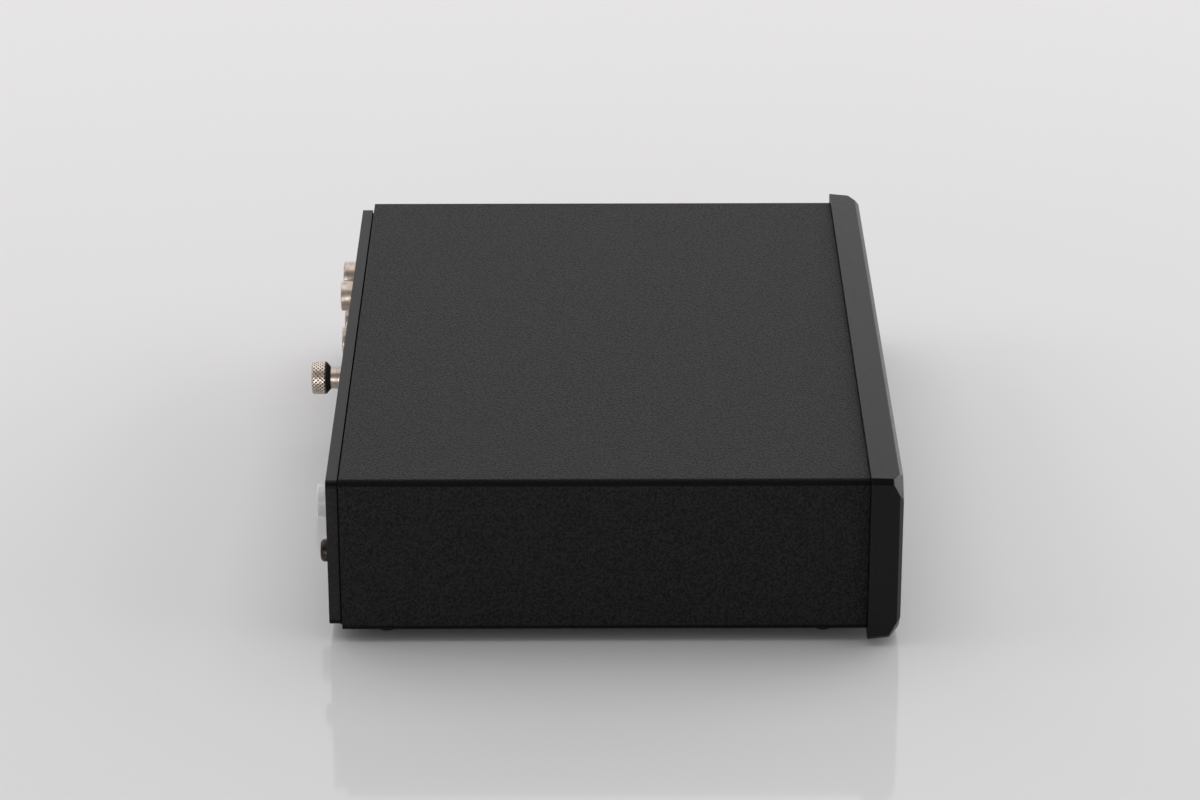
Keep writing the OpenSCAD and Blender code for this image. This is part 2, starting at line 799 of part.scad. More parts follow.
module ground_washer() {
    low = post_collar_l + face_gap;
    high = post_collar_l + post_washer_t - face_gap;
    bore_r = thread_r + 2 * run_fit;
    color("#161617") along_y([post_x, y_rear, z_rear_mid]) rotate_extrude() polygon([
        [bore_r, low], [post_collar_d / 2, low], [thumb_d / 2 - 0.1, high], [bore_r, high]
    ]);
}

module thumb_nut() {
    r = thumb_d / 2;
    low = post_collar_l + post_washer_t;
    bore_r = thread_r + run_fit;
    color("#c9c4bb") along_y([post_x, y_rear, z_rear_mid]) rotate_extrude() polygon([
        [bore_r, low], [r - 0.15, low], [r, low + 0.2], [r, post_reach - 0.45],
        [r - 0.45, post_reach], [bore_r, post_reach]
    ]);
}

module ground_lug() {
    color("#d2d0c8") difference() {
        union() {
            along_y([post_x, y_plate - lug_t, z_rear_mid]) cylinder(r = lug_r, h = lug_t);
            block([post_x - lug_w / 2, y_plate - lug_t, z_rear_mid - lug_len],
                  [post_x + lug_w / 2, y_plate, z_rear_mid - thread_r - fit]);
        }
        along_y([post_x, y_plate - lug_t - eps, z_rear_mid])
            cylinder(r = thread_r + fit, h = lug_t + 2 * eps);
    }
}

module ground_post_nut() {
    color("#c8c9cb") along_y([post_x, y_plate - lug_t - post_nut_t, z_rear_mid]) difference() {
        cylinder(d = post_nut_flats / cos(30), h = post_nut_t, $fn = 6);
        translate([0, 0, -eps]) cylinder(r = thread_r + fit, h = post_nut_t + 2 * eps);
    }
}

module ground_wire() {
    top = z_rear_mid - post_nut_flats / 2 / cos(30) - 0.2;
    color("#2d7a3a") translate([post_x, y_plate - lug_t - wire_r, z_parts])
        cylinder(r = wire_r, h = top - z_parts);
}

// ---- power socket -------------------------------------------------------

module socket_body() {
    color("#1b1b1d") along_y([socket_x, y_plate - socket_len, z_rear_mid]) difference() {
        union() {
            cylinder(r = socket_body_r, h = socket_len);
            cylinder(r = socket_bush_r, h = socket_len + rear_t + socket_proud - 0.4);
        }
        translate([0, 0, socket_len - socket_bore_depth])
            cylinder(d = socket_bore_d, h = socket_bore_depth + rear_t + socket_proud);
    }
}

module socket_collar() {
    r = socket_d / 2;
    bore_r = socket_bush_r + fit;
    color("#e2e2de") along_y([socket_x, y_rear, z_rear_mid]) rotate_extrude() polygon([
        [bore_r, 0], [r, 0], [r, socket_proud - 0.35], [r - 0.35, socket_proud], [bore_r, socket_proud]
    ]);
}

module socket_pin() {
    start = socket_len - socket_bore_depth;
    tip = socket_len + rear_t + socket_proud - 1.8;
    color("#c9c4bb") along_y([socket_x, y_plate - socket_len, z_rear_mid]) rotate_extrude() polygon([
        [0, start], [socket_pin_r, start], [socket_pin_r, tip - 0.4], [socket_pin_r - 0.4, tip], [0, tip]
    ]);
}

module socket_wires() {
    y_start = y_plate - socket_len;
    y_bend = y_start - lead_run;
    z_bend = z_rear_mid - lead_bend;
    low = z_parts + header_size[2];
    color("#a02020") for (s = [-1, 1]) translate([socket_x + s * lead_spread, 0, 0]) {
        translate([0, y_start, z_rear_mid]) rotate([90, 0, 0]) cylinder(r = wire_r, h = lead_run);
        translate([0, y_bend, z_bend]) rotate([90, 0, -90])
            rotate_extrude(angle = 90) translate([lead_bend, 0]) circle(wire_r);
        translate([0, y_bend - lead_bend, low]) cylinder(r = wire_r, h = z_bend - low);
    }
}

module power_header() {
    y = y_plate - socket_len - lead_run - lead_bend;
    color("#e9e6da") translate([socket_x - header_size[0] / 2, y - header_size[1] / 2, z_parts])
        cube(header_size);
}

// ---- parts on the main board --------------------------------------------

// count of copies along X from the place p, pitch apart
module row(p, pitch, count) {
    for (i = [0:count - 1]) translate([p[0] + i * pitch, y_board + p[1], z_parts]) children();
}

// electrolytic can with a rolled groove near its base
module can(r, h) {
    rotate_extrude() polygon([
        [0, 0], [r - can_edge, 0], [r, can_edge], [r, groove_z - groove_half], [r - groove_depth, groove_z],
        [r, groove_z + groove_half], [r, h - can_edge], [r - can_edge, h], [0, h]
    ]);
}

module reservoir_capacitors() {
    color("#22324f") row([reservoir_side - board_x, reservoir_y], reservoir_pitch, 3)
        can(reservoir_r, reservoir_h);
}

module coupling_capacitors() {
    color("#22324f") {
        for (y = coupling_ys) row([coupling_x, y], coupling_pitch, 4) can(coupling_r, coupling_h);
        row([supply_side - board_x, supply_y], supply_pitch, 4) can(supply_r, supply_h);
    }
}

module film_capacitors() {
    color("#8e2f26") {
        for (y = film_ys) row([board_x - film_side - 2 * film_pitch, y], film_pitch, 3) cube(film_size);
        row([large_film_x, large_film_y], large_film_pitch, 2) cube(large_film_size);
    }
}

module op_amp_places() {
    for (y = amp_ys) row([amp_x, y], amp_pitch, 2) children();
}

module op_amp_sockets() {
    color("#26262a") op_amp_places()
        translate([-amp_socket_size[0] / 2, -amp_socket_size[1] / 2, 0]) cube(amp_socket_size);
}

module op_amps() {
    top = amp_socket_size[2] + amp_size[2];
    color("#18181a") op_amp_places() difference() {
        translate([-amp_size[0] / 2, -amp_size[1] / 2, amp_socket_size[2]]) cube(amp_size);
        translate([-amp_size[0] / 2, 0, top - amp_notch_r]) cylinder(r = amp_notch_r, h = 2 * amp_notch_r);
    }
}

module regulator_places() {
    row([regulator_side - board_x, regulator_y], regulator_pitch, 2) children();
}

module heatsinks() {
    w = sink_size[0];
    color("#2f2f31") regulator_places() {
        translate([-w / 2, 0, 0]) cube([w, sink_t, sink_size[2]]);
        for (i = [0:3]) translate([(w - fin_t) * (i / 3 - 0.5) - fin_t / 2, sink_t - eps, 0])
            cube([fin_t, sink_size[1] - sink_t + eps, sink_size[2]]);
    }
}

module regulators() {
    w = regulator_size[0];
    t = regulator_size[1];
    top = regulator_lift + regulator_size[2];
    color("#202022") regulator_places() {
        translate([-w / 2, -t, regulator_lift]) cube(regulator_size);
        translate([-w / 2, -tab_t, top - eps]) cube([w, tab_t, tab_h + eps]);
        for (i = [-1:1]) translate([i * leg_pitch - leg_w / 2, -leg_y, 0])
            cube([leg_w, leg_t, regulator_lift + eps]);
    }
}

module mute_relays() {
    x = jack_mid_x - relay_size[0] / 2;
    color("#d9d7cf") for (s = [-1, 1])
        translate([x + s * relay_pitch / 2, y_board_end - relay_rear_inset, z_parts]) cube(relay_size);
}

module resistor() {
    translate([0, -resistor_l / 2, resistor_lift]) rotate([-90, 0, 0])
        cylinder(r = resistor_r, h = resistor_l, $fn = 24);
    translate([0, -resistor_span / 2, resistor_lift]) rotate([-90, 0, 0])
        cylinder(r = lead_r, h = resistor_span, $fn = 16);
    for (s = [-1, 1]) translate([0, s * (resistor_span / 2 - lead_r), 0])
        cylinder(r = lead_r, h = resistor_lift, $fn = 16);
}

module resistors() {
    color("#7fb2c4") {
        for (y = resistor_ys)
            row([board_x - resistor_side - 5 * resistor_pitch, y], resistor_pitch, 6) resistor();
        row([supply_resistor_side - board_x, supply_resistor_y], resistor_pitch, 5) resistor();
    }
}

// ---- nodes --------------------------------------------------------------

cover();
base_tray();
front_panel();
rear_panel();
foot_front_left();
foot_front_right();
foot_rear_left();
foot_rear_right();
foot_screws();
cover_screws();
front_panel_screws();
rear_panel_screws();
power_button();
cartridge_button();
filter_button();
power_plunger();
cartridge_plunger();
filter_plunger();
power_switch();
cartridge_switch();
filter_switch();
light_pipes();
light_diodes();
control_board();
control_board_pillars();
control_board_screws();
main_board();
main_board_pillars();
main_board_screws();
ribbon_headers();
ribbon_cable();
jack_housing();
jack_housing_screw();
input_left_shell();
input_right_shell();
output_left_shell();
output_right_shell();
left_insulators();
right_insulators();
jack_contacts();
ground_post();
ground_washer();
thumb_nut();
ground_lug();
ground_post_nut();
ground_wire();
socket_body();
socket_collar();
socket_pin();
socket_wires();
power_header();
reservoir_capacitors();
coupling_capacitors();
film_capacitors();
op_amps();
op_amp_sockets();
regulators();
heatsinks();
mute_relays();
resistors();
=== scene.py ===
"""Phono preamplifier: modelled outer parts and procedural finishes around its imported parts.

The file is laid out as an add-on and is run as a script. Lengths are in metres in the frame of
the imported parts: +X is to the right seen from the front, -Y is the front, +Z is up, and the
feet stand on z = 0.
"""

import json
import math

import bmesh
import bpy
from mathutils import Matrix, Vector


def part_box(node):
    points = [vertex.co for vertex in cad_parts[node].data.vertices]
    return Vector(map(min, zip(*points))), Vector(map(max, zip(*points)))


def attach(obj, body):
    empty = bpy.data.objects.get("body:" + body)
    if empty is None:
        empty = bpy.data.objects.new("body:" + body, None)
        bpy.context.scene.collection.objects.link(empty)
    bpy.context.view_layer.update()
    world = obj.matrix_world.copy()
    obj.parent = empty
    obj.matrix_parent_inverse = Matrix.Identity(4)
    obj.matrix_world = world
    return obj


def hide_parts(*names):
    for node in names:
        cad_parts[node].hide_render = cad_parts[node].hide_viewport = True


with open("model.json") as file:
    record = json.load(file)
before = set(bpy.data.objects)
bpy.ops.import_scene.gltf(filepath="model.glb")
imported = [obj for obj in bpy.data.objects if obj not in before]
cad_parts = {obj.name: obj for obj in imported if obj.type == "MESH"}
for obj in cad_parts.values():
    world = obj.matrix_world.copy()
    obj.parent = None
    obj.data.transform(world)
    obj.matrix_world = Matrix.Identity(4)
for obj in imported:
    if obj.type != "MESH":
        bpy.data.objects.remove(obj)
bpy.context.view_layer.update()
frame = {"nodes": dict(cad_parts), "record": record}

bl_info = {
    "name": "Phono preamplifier",
    "version": (1, 0, 0),
    "blender": (4, 5, 0),
    "location": "View3D > Sidebar > Preamplifier",
    "description": "Models the outer parts of a phono preamplifier and gives each part its finish",
    "category": "Object",
}

BACK, UP, DOWN = Vector((0, 1, 0)), Vector((0, 0, 1)), Vector((0, 0, -1))
MERGE = 1e-7  # points closer than this are one
BREAK = 0.0001  # width of a small broken edge
FIT = 0.00005  # gap round a part that fits closely
PAST = 0.001  # how far a cutting tool stands out of what it cuts
LEAD = 0.0003  # taper at the end of a screw's shank
ROUNDED = math.radians(25)  # an edge that turns more than this is rounded
CREASED = math.radians(38)  # an edge that turns more than this is shaded sharp


# ---- settings ----


def length(label, text, default):
    """A property that holds a length."""
    return bpy.props.FloatProperty(
        name=label, description=text, default=default, precision=5, unit="LENGTH"
    )


def angle(label, text, degrees):
    """A property that holds an angle, given in degrees."""
    return bpy.props.FloatProperty(
        name=label, description=text, default=math.radians(degrees), subtype="ANGLE",
        unit="ROTATION",
    )


def colour(label, text, *default):
    """A property that holds a colour."""
    return bpy.props.FloatVectorProperty(
        name=label, description=text, default=default, size=3, min=0, max=1, subtype="COLOR"
    )


class PreampStage(bpy.types.PropertyGroup):
    """Camera, floor and lamps."""

    focal: bpy.props.FloatProperty(
        name="Focal length", description="Lens of the camera", default=121.895, unit="CAMERA"
    )
    place: bpy.props.FloatVectorProperty(
        name="Camera place", description="Where the camera stands",
        default=(-1.01507, 0.00026, 0.47711), subtype="TRANSLATION",
    )
    pitch: angle("Pitch", "How far the camera looks down", 24.029)
    yaw: angle("Yaw", "Turn of the camera's look from +X", -0.075)
    roll: angle("Roll", "Turn of the camera about its look", -0.109)
    floor_size: length("Floor size", "Width of the floor", 12.0)
    floor_shade: colour("Floor colour", "Colour of the floor", 0.80, 0.80, 0.803)
    world_shade: colour("World colour", "Colour round the stage", 0.241, 0.238, 0.2395)
    lamp_shade: colour("Lamp colour", "Colour of every lamp", 1.0, 0.983, 0.99)
    lamp_power: bpy.props.FloatProperty(
        name="Lamp power", description="Factor on every lamp's power", default=1, min=0
    )


class PreampCasing(bpy.types.PropertyGroup):
    """Sizes of the cover, the front panel, the rear panel and the feet."""

    sheet: length("Sheet", "Thickness of the cover", 0.0012)
    fold: length("Fold", "Outer radius of the cover's folds", 0.0015)
    lip: length("Lip", "Width of the cover's lips", 0.009)
    round: length("Edge rounding", "Rounding of coated edges", 0.00015)
    draft: length("Draft", "Lean of the front panel's sides over its thickness", 0.0006)
    face_chamfer: length("Face chamfer", "Chamfer round the front face", 0.0009)
    edge_chamfer: length("Long chamfer", "Chamfer on the front panel's long corners", 0.00125)
    facet_reach: length("Facet reach", "Width and height of a corner facet", 0.0075)
    facet_depth: length("Facet depth", "Reach of a facet along the thickness", 0.0037)
    facet_round: length("Facet rounding", "Rounding round a facet", 0.0004)
    rear_corner: length("Rear corner", "Radius of the rear panel's corners", 0.0016)
    foot_taper: length("Foot taper", "How much a foot narrows downwards", 0.0012)
    foot_round: length("Foot rounding", "Rounding of a foot's tread", 0.0014)
    foot_seat: length("Foot seat", "Depth of a foot's hollow", 0.0023)


class PreampControls(bpy.types.PropertyGroup):
    """Sizes of the buttons, their lights and the screws."""

    collar_step: length("Collar step", "Reach of a button's collar past its cap", 0.001)
    collar: length("Collar", "Thickness of a button's collar", 0.0012)
    pocket: length("Pocket", "Depth of the pocket behind a button", 0.004)
    button_gap: length("Button gap", "Gap round a button", 0.00015)
    tail: length("Tail", "Radius of a button's tail", 0.0018)
    tail_end: length("Tail end", "Reach of that tail behind the panel", 0.002)
    light_step: length("Light step", "Reach of a light pipe's collar", 0.0006)
    light_collar: length("Light collar", "Thickness of that collar", 0.0012)
    light_end: length("Light end", "Reach of a light pipe behind the panel", 0.0032)
    screw: length("Screw", "Diameter of a screw's shank", 0.003)
    head: length("Head", "Height of a screw's head", 0.0018)
    recess: length("Recess", "Width of the cross in a head", 0.0032)
    recess_slot: length("Recess slot", "Width of one slot of the cross", 0.0008)


class PreampRear(bpy.types.PropertyGroup):
    """Sizes of the jacks, the ground post and the power socket."""

    shell_wall: length("Shell wall", "Wall of a jack's shell", 0.0006)
    shell_relief: length("Shell relief", "What a shell loses inside the panel", 0.00025)
    shell_root: length("Shell root", "Where a shell gets its full diameter", 0.0003)
    jack_gap: length("Jack gap", "Gap round a jack in the panel", 0.0004)
    contact_bore: length("Contact bore", "Diameter of a contact's bore", 0.0032)
    contact_depth: length("Contact depth", "Depth of a contact's bore", 0.009)
    thread: length("Thread", "Diameter of the post's thread", 0.004)
    thread_pitch: length("Thread pitch", "Pitch of the post's thread", 0.0007)
    collar: length("Collar", "Length of the post's collar", 0.0055)
    collar_step: length("Collar step", "Place of the step in that collar", 0.0038)
    collar_drop: length("Collar drop", "Radius lost at that step", 0.0002)
    knurls: bpy.props.IntProperty(
        name="Knurls", description="Diamonds round the thumb nut", default=25, min=12, max=80
    )
    knurl_pitch: length("Knurl pitch", "Length of a diamond", 0.00115)
    knurl_depth: length("Knurl depth", "Depth of the knurl's pits", 0.0003)
    bush: length("Bush", "Radius of the socket's bush", 0.0038)
    plug_bore: length("Plug bore", "Diameter of the plug's hole", 0.0057)
    plug_depth: length("Plug depth", "Depth of that hole behind the panel", 0.006)


class PreampColours(bpy.types.PropertyGroup):
    """Colours of the finishes that show from outside."""

    cover: colour("Cover", "Textured coat of the cover", 0.0082, 0.008, 0.0081)
    front: colour("Front panel", "Satin coat of the front panel", 0.0036, 0.0036, 0.0038)
    # painted highlight: the lighter colour of the front face's chamfer and corner facets
    wear_and_highlight: colour("Worn rim", "Thin coat round the front face", 0.043, 0.042, 0.043)
    rear: colour("Rear panel", "Satin coat of the rear panel", 0.016, 0.0158, 0.016)
    nickel: colour("Nickel", "Plating of jacks, post and nut", 0.66, 0.565, 0.485)
    # partly painted shade: the tray is a black coat, made near-black so that the cover's seams
    # show dark
    tray: colour("Tray", "Coat of the tray", 0.002, 0.002, 0.0021)
    rubber: colour("Rubber", "Rubber of the feet", 0.012, 0.012, 0.013)
    milky: colour("Milky plastic", "Collar of the power socket", 0.96, 0.955, 0.95)
    white: colour("White plastic", "Insulators of the left jacks", 0.82, 0.82, 0.80)
    red: colour("Red plastic", "Insulators of the right jacks", 0.48, 0.025, 0.02)


SETTINGS = {
    "preamp_stage": PreampStage,
    "preamp_casing": PreampCasing,
    "preamp_controls": PreampControls,
    "preamp_rear": PreampRear,
    "preamp_colours": PreampColours,
}


# ---- finishes ----


def sign(operation, reflected=False):
    """The method of one of Python's signs, which adds a Math node."""

    def method(self, *others):
        values = (*others, self) if reflected else (self, *others)
        return self.finish.maths(operation, *values)

    return method


class Wire:
    """An output socket that takes Python's arithmetic."""

    def __init__(self, finish, socket):
        self.finish = finish
        self.socket = socket

    __add__, __radd__ = sign("ADD"), sign("ADD", True)
    __sub__, __rsub__ = sign("SUBTRACT"), sign("SUBTRACT", True)
    __mul__, __rmul__ = sign("MULTIPLY"), sign("MULTIPLY", True)
    __truediv__, __rtruediv__ = sign("DIVIDE"), sign("DIVIDE", True)
    __mod__, __rmod__ = sign("FLOORED_MODULO"), sign("FLOORED_MODULO", True)
    __gt__, __lt__ = sign("GREATER_THAN"), sign("LESS_THAN")
    __abs__ = sign("ABSOLUTE")


class Finish:
    """A procedural material: one shader and the nodes that vary it over the surface."""

    def __init__(self, name, **constants):
        self.material = bpy.data.materials.new(name)
        self.material.use_nodes = True
        self.tree = self.material.node_tree
        self.shader = self.tree.nodes["Principled BSDF"]
        self.feed(self.shader, {key.replace("_", " "): value for key, value in constants.items()})

    def feed(self, node, inputs):
        """Sets or links sockets of a node."""
        for key, value in inputs.items():
            socket = node.inputs[key]
            if isinstance(value, Wire):
                self.tree.links.new(value.socket, socket)
            elif hasattr(value, "__len__") and socket.type == "RGBA":
                socket.default_value = (*value, 1)
            else:
                socket.default_value = value

    def node(self, kind, settings=None, inputs=None, output=0):
        """Adds a node with its settings and its sockets' values or links, and gives its output."""
        made = self.tree.nodes.new(kind)
        for key, value in (settings or {}).items():
            if key == "stops":
                self.set_stops(made.color_ramp, value)
            else:
                setattr(made, key, value)
        self.feed(made, inputs or {})
        return Wire(self, made.outputs[output])

    def set_stops(self, ramp, stops):
        """Gives a colour ramp its stops of (place, grey)."""
        while len(ramp.elements) < len(stops):
            ramp.elements.new(1)
        for element, (place, grey) in zip(ramp.elements, stops):
            element.position = place
            element.color = (grey, grey, grey, 1)

    def maths(self, operation, *values):
        """A Math node on these values."""
        return self.node("ShaderNodeMath", {"operation": operation}, dict(enumerate(values)))

    def place(self, scale=(1, 1, 1)):
        """The object's own coordinates, scaled along its axes."""
        coordinates = self.node("ShaderNodeTexCoord", output="Object")
        return self.node("ShaderNodeMapping", inputs={"Vector": coordinates, "Scale": scale})

    def along(self, axis):
        """One of the object's own coordinates."""
        coordinates = self.node("ShaderNodeTexCoord", output="Object")
        return self.node("ShaderNodeSeparateXYZ", inputs={"Vector": coordinates}, output=axis)

    def noise(self, grain, detail=2, stretch=(1, 1, 1)):
        """Noise from 0 to 1 in grains of about that size."""
        inputs = {"Vector": self.place(stretch), "Scale": 1 / grain, "Detail": detail}
        return self.node("ShaderNodeTexNoise", inputs=inputs)

    def ramp(self, factor, *stops):
        """A factor sent through the stops of a ramp."""
        return self.node("ShaderNodeValToRGB", {"stops": stops}, {"Fac": factor})

    def blend(self, factor, first, second):
        """A colour between two colours."""
        inputs = {0: factor, 6: first, 7: second}
        return self.node("ShaderNodeMix", {"data_type": "RGBA"}, inputs, output=2)

    def shades(self, factor, colour, low, high):
        """A colour between two shades of it."""
        return self.blend(factor, shade(colour, low), shade(colour, high))

    def inward(self, node):
        """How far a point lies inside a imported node's outline, the sum of its X and Z parts."""
        low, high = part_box(node)
        centre, half = (low + high) / 2, (high - low) / 2
        across = half.x - abs(self.along("X") - centre.x)
        return half.z - abs(self.along("Z") - centre.z) + across

    def surface(self, tone, roughness, height=None, depth=0):
        """Gives the shader its tone, roughness and bumps of that depth in metres."""
        self.feed(self.shader, {"Base Color": tone, "Roughness": roughness})
        if height is not None:
            bump = self.node("ShaderNodeBump", inputs={"Height": height, "Distance": depth})
            self.feed(self.shader, {"Normal": bump})
        return self.material

    def paint_shade(self, mask, tone):
        """Paints shade where mask is 1: blends the tone to black and takes most of the reflection
        of what is above away.
        """
        dark = self.blend(mask, tone, (0, 0, 0))
        self.feed(self.shader, {"Base Color": dark, "Metallic": mask * 0.3})
        return self.material


def shade(colour, factor):
    """A colour made lighter or darker."""
    return tuple(min(1, channel * factor) for channel in colour)


def textured_coat(name, colour):
    """Matt powder coat with fine grains and painted shade on the folds, as on the cover."""
    finish = Finish(name, Specular_IOR_Level=0.175)
    grain = finish.ramp(finish.noise(0.00056, 3), (0.38, 0), (0.62, 1))
    tone = finish.shades(grain * 0.9 + finish.noise(0.012) * 0.1, colour, 0, 2)
    finish.surface(tone, 0.57 - 0.08 * grain, grain, 0.00008)
    # painted shade: darker and less reflective within the fold radius of the cover's outline
    return finish.paint_shade(finish.inward("cover") < bpy.context.scene.preamp_casing.fold, tone)


def satin(name, colour, specular=0.2, roughness=0.33):
    """A smoother satin coat, and the tone that it starts from."""
    finish = Finish(name, Specular_IOR_Level=specular)
    grain = finish.ramp(finish.noise(0.0008), (0.3, 0), (0.7, 1))
    tone = finish.shades(grain * 0.6 + finish.noise(0.009) * 0.4, colour, 0.4, 1.6)
    finish.surface(tone, roughness + 0.08 * grain, grain, 0.000006)
    return finish, tone


def tray_coat_and_seam_shade(name, colour):
    """Satin coat of the tray, a black coat made near-black and little reflective as painted shade
    for the cover's seams.
    """
    return satin(name, colour, 0.05)[0].material


def rear_coat(name, colour):
    """Satin coat of the rear panel, with painted shade on its rounded corners."""
    finish, tone = satin(name, colour, 0.19, 0.4)
    # painted shade on the rear panel's rounded corners
    corner = finish.inward("rear_panel") < bpy.context.scene.preamp_casing.rear_corner
    return finish.paint_shade(corner, tone)


def front_coat(name, colour, wear_and_highlight):
    """Satin coat of the front panel, with painted shade on its long chamfers and a painted
    highlight on the chamfer round its face and on the corner facets.
    """
    finish, tone = satin(name, colour)
    sizes = bpy.context.scene.preamp_casing
    low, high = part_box("front_panel")
    thick = high.y - low.y
    inward = finish.inward("front_panel")
    depth = finish.along("Y") - low.y
    skin, over = 0.00003, 0.0001  # the face itself, and a margin past a long chamfer
    chamfer = (depth > skin) * (depth < sizes.face_chamfer)
    facet = inward / sizes.facet_reach + depth / sizes.facet_depth < 1.02
    # painted highlight: the chamfer round the face and the corner facets take the lighter rim
    # colour
    rim = finish.maths("MAXIMUM", chamfer, facet)
    lean = (thick - depth) * (2 * sizes.draft / thick)
    # painted shade on the long chamfers of the front panel
    corner = inward - lean < sizes.edge_chamfer + over
    return finish.paint_shade(corner, finish.blend(rim, tone, wear_and_highlight))


def turned_metal(name, colour, clean, dark):
    """Turned metal with fine rings along Y, with its tone, its tarnish and its rings."""
    finish = Finish(name, Metallic=1.0)
    tarnish = finish.noise(0.0016, 3)
    tone = finish.shades(finish.ramp(tarnish, (0.42, 0), (0.7, 1)), colour, clean, dark)
    return finish, tone, tarnish, finish.noise(0.00009, 1, (0.02, 1, 0.02))


def plated(name, colour, roughness):
    """Turned and plated metal with a little tarnish."""
    finish, tone, tarnish, rings = turned_metal(name, colour, 1, 0.72)
    return finish.surface(tone, roughness - 0.05 + 0.12 * tarnish, rings, 0.000006)


def knurled(name, colour, roughness):
    """Plated metal of the thumb nut and the post, a lighter copy of the jacks' nickel as a painted
    highlight, with grime and painted shade in the knurl's pits and a weaker painted shade nearer
    the axis.
    """
    # painted highlight: shades 1.15 and 0.9 make a lighter copy of the nickel that the jacks use
    # at 1 and 0.72
    finish, plating, _, rings = turned_metal(name, colour, 1.15, 0.9)
    start, radius, _ = seat(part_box("thumb_nut"))
    across, up = finish.along("X") - start.x, finish.along("Z") - start.z
    reach = finish.maths("SQRT", across * across + up * up)
    sunk = (radius - reach) / (2 * bpy.context.scene.preamp_rear.knurl_depth)
    # grime_and_shade is 0 on the ridges and 1 in the pits, where it paints grime and shade. It is
    # 0.4 on everything nearer the axis, such as the post's collar, where it is painted shade alone
    grime_and_shade = finish.ramp(sunk, (0.14, 0), (0.4, 1), (0.55, 1), (0.65, 0.4))
    tone = finish.blend(grime_and_shade, plating, shade(colour, 0.5))
    return finish.surface(tone, roughness + 0.2 * grime_and_shade, rings, 0.000006)


def sheet_metal(name, colour, roughness=0.34):
    """Zinc plated sheet or screw, with soft clouds and rolling streaks."""
    finish = Finish(name, Metallic=1.0)
    cloud = finish.noise(0.006, 3)
    streak = finish.noise(0.0004, 2, (0.05, 1, 1))
    tone = finish.shades(cloud * 0.6 + streak * 0.4, colour, 0.82, 1.15)
    return finish.surface(tone, roughness + 0.14 * cloud, streak, 0.000008)


def blackened(name, colour, wear_and_highlight):
    """Black oxide or black zinc on a screw, with wear on its high spots."""
    finish = Finish(name, Metallic=0.75)
    wear = finish.ramp(finish.noise(0.0009, 3), (0.45, 0), (0.72, 1))
    tone = finish.blend(wear, colour, wear_and_highlight)
    return finish.surface(tone, 0.33 + 0.15 * wear, finish.noise(0.0002, 1), 0.000008)


def moulded(name, colour, roughness=0.4):
    """Moulded plastic with a faint eroded texture."""
    finish = Finish(name)
    texture = finish.noise(0.00025, 1)
    tone = finish.shades(finish.noise(0.004), colour, 0.93, 1.07)
    return finish.surface(tone, roughness - 0.03 + 0.08 * texture, texture, 0.00001)


def rubber(name, colour):
    """Dull rubber with moulding pits and dust."""
    finish = Finish(name)
    dust = finish.ramp(finish.noise(0.0012, 3), (0.5, 0), (0.8, 1))
    tone = finish.shades(dust * 0.5, colour, 1, 3.5)
    inputs = {"Vector": finish.place(), "Scale": 1 / 0.0004, "Smoothness": 0.4}
    pits = finish.node("ShaderNodeTexVoronoi", {"feature": "SMOOTH_F1"}, inputs)
    return finish.surface(tone, 0.72 + 0.12 * dust, pits, 0.00002)


def anodised(name, colour):
    """Satin anodised aluminium with a fine blasted grain."""
    finish = Finish(name, Metallic=0.6)
    grain = finish.noise(0.00018, 1)
    tone = finish.shades(grain, colour, 0.85, 1.2)
    return finish.surface(tone, 0.34 + 0.08 * grain, grain, 0.000008)


def clear(name, colour, roughness=0.12):
    """Clear or tinted plastic that light passes through."""
    finish = Finish(name, Transmission_Weight=0.85, IOR=1.49)
    haze = finish.noise(0.0008)
    tone = finish.shades(haze, colour, 0.94, 1)
    return finish.surface(tone, roughness + 0.08 * haze, haze, 0.000004)


def milky(name, colour):
    """Milky plastic that light enters and leaves again."""
    finish = Finish(
        name, Subsurface_Weight=1.0, Subsurface_Radius=(0.009,) * 3, Transmission_Weight=0.1
    )
    haze = finish.noise(0.001)
    return finish.surface(finish.shades(haze, colour, 0.97, 1.03), 0.24 + 0.1 * haze)


def circuit_board(name, colour):
    """Green solder mask over copper tracks, with its glass weave."""
    finish = Finish(name, Coat_Weight=0.4, Coat_Roughness=0.2)
    cell = finish.node(
        "ShaderNodeTexBrick",
        {"offset": 0.5, "squash": 1.0},
        {"Vector": finish.place(), "Scale": 180.0, "Mortar Size": 0.09, "Mortar Smooth": 0.1},
        output="Fac",
    )
    weave = finish.noise(0.0003, 1)
    tracks = (finish.noise(0.009, 0) > 0.5) * cell
    mask = finish.shades(weave, colour, 0.85, 1.1)
    tone = finish.blend(tracks * 0.5, mask, shade(colour, 1.9))
    return finish.surface(tone, 0.38 + 0.1 * weave, tracks, 0.00003)


def ribbed(name, colour, pitch):
    """Flat cable: round cores side by side along X."""
    finish = Finish(name)
    core = abs((finish.along("X") % pitch) / pitch - 0.5) * 2
    # painted shade: each core is lighter on its crown and darker in the creases between cores
    tone = finish.shades(core, colour, 1.1, 0.6)
    return finish.surface(tone, 0.45 + 0.1 * core, 1 - core * core, 0.0002)


def sleeved(name, colour, stripe):
    """Shrunk sleeve of a capacitor, with a paler band on one side."""
    finish = Finish(name)
    band = finish.noise(0.011, 0, (1, 1, 0.05)) > 0.6
    cloud = finish.noise(0.003)
    tone = finish.blend(band, finish.shades(cloud, colour, 0.9, 1.1), stripe)
    return finish.surface(tone, 0.25 + 0.12 * cloud, cloud, 0.00002)


def banded(name, colour, rings):
    """Lacquered resistor with darker rings round its body."""
    finish = Finish(name)
    pitch = 0.0013
    ring = abs((finish.along("Y") % pitch) / pitch - 0.5) < 0.16
    cloud = finish.noise(0.0015)
    tone = finish.blend(ring, finish.shades(cloud, colour, 0.88, 1.1), rings)
    return finish.surface(tone, 0.3 + 0.15 * cloud, cloud, 0.00003)


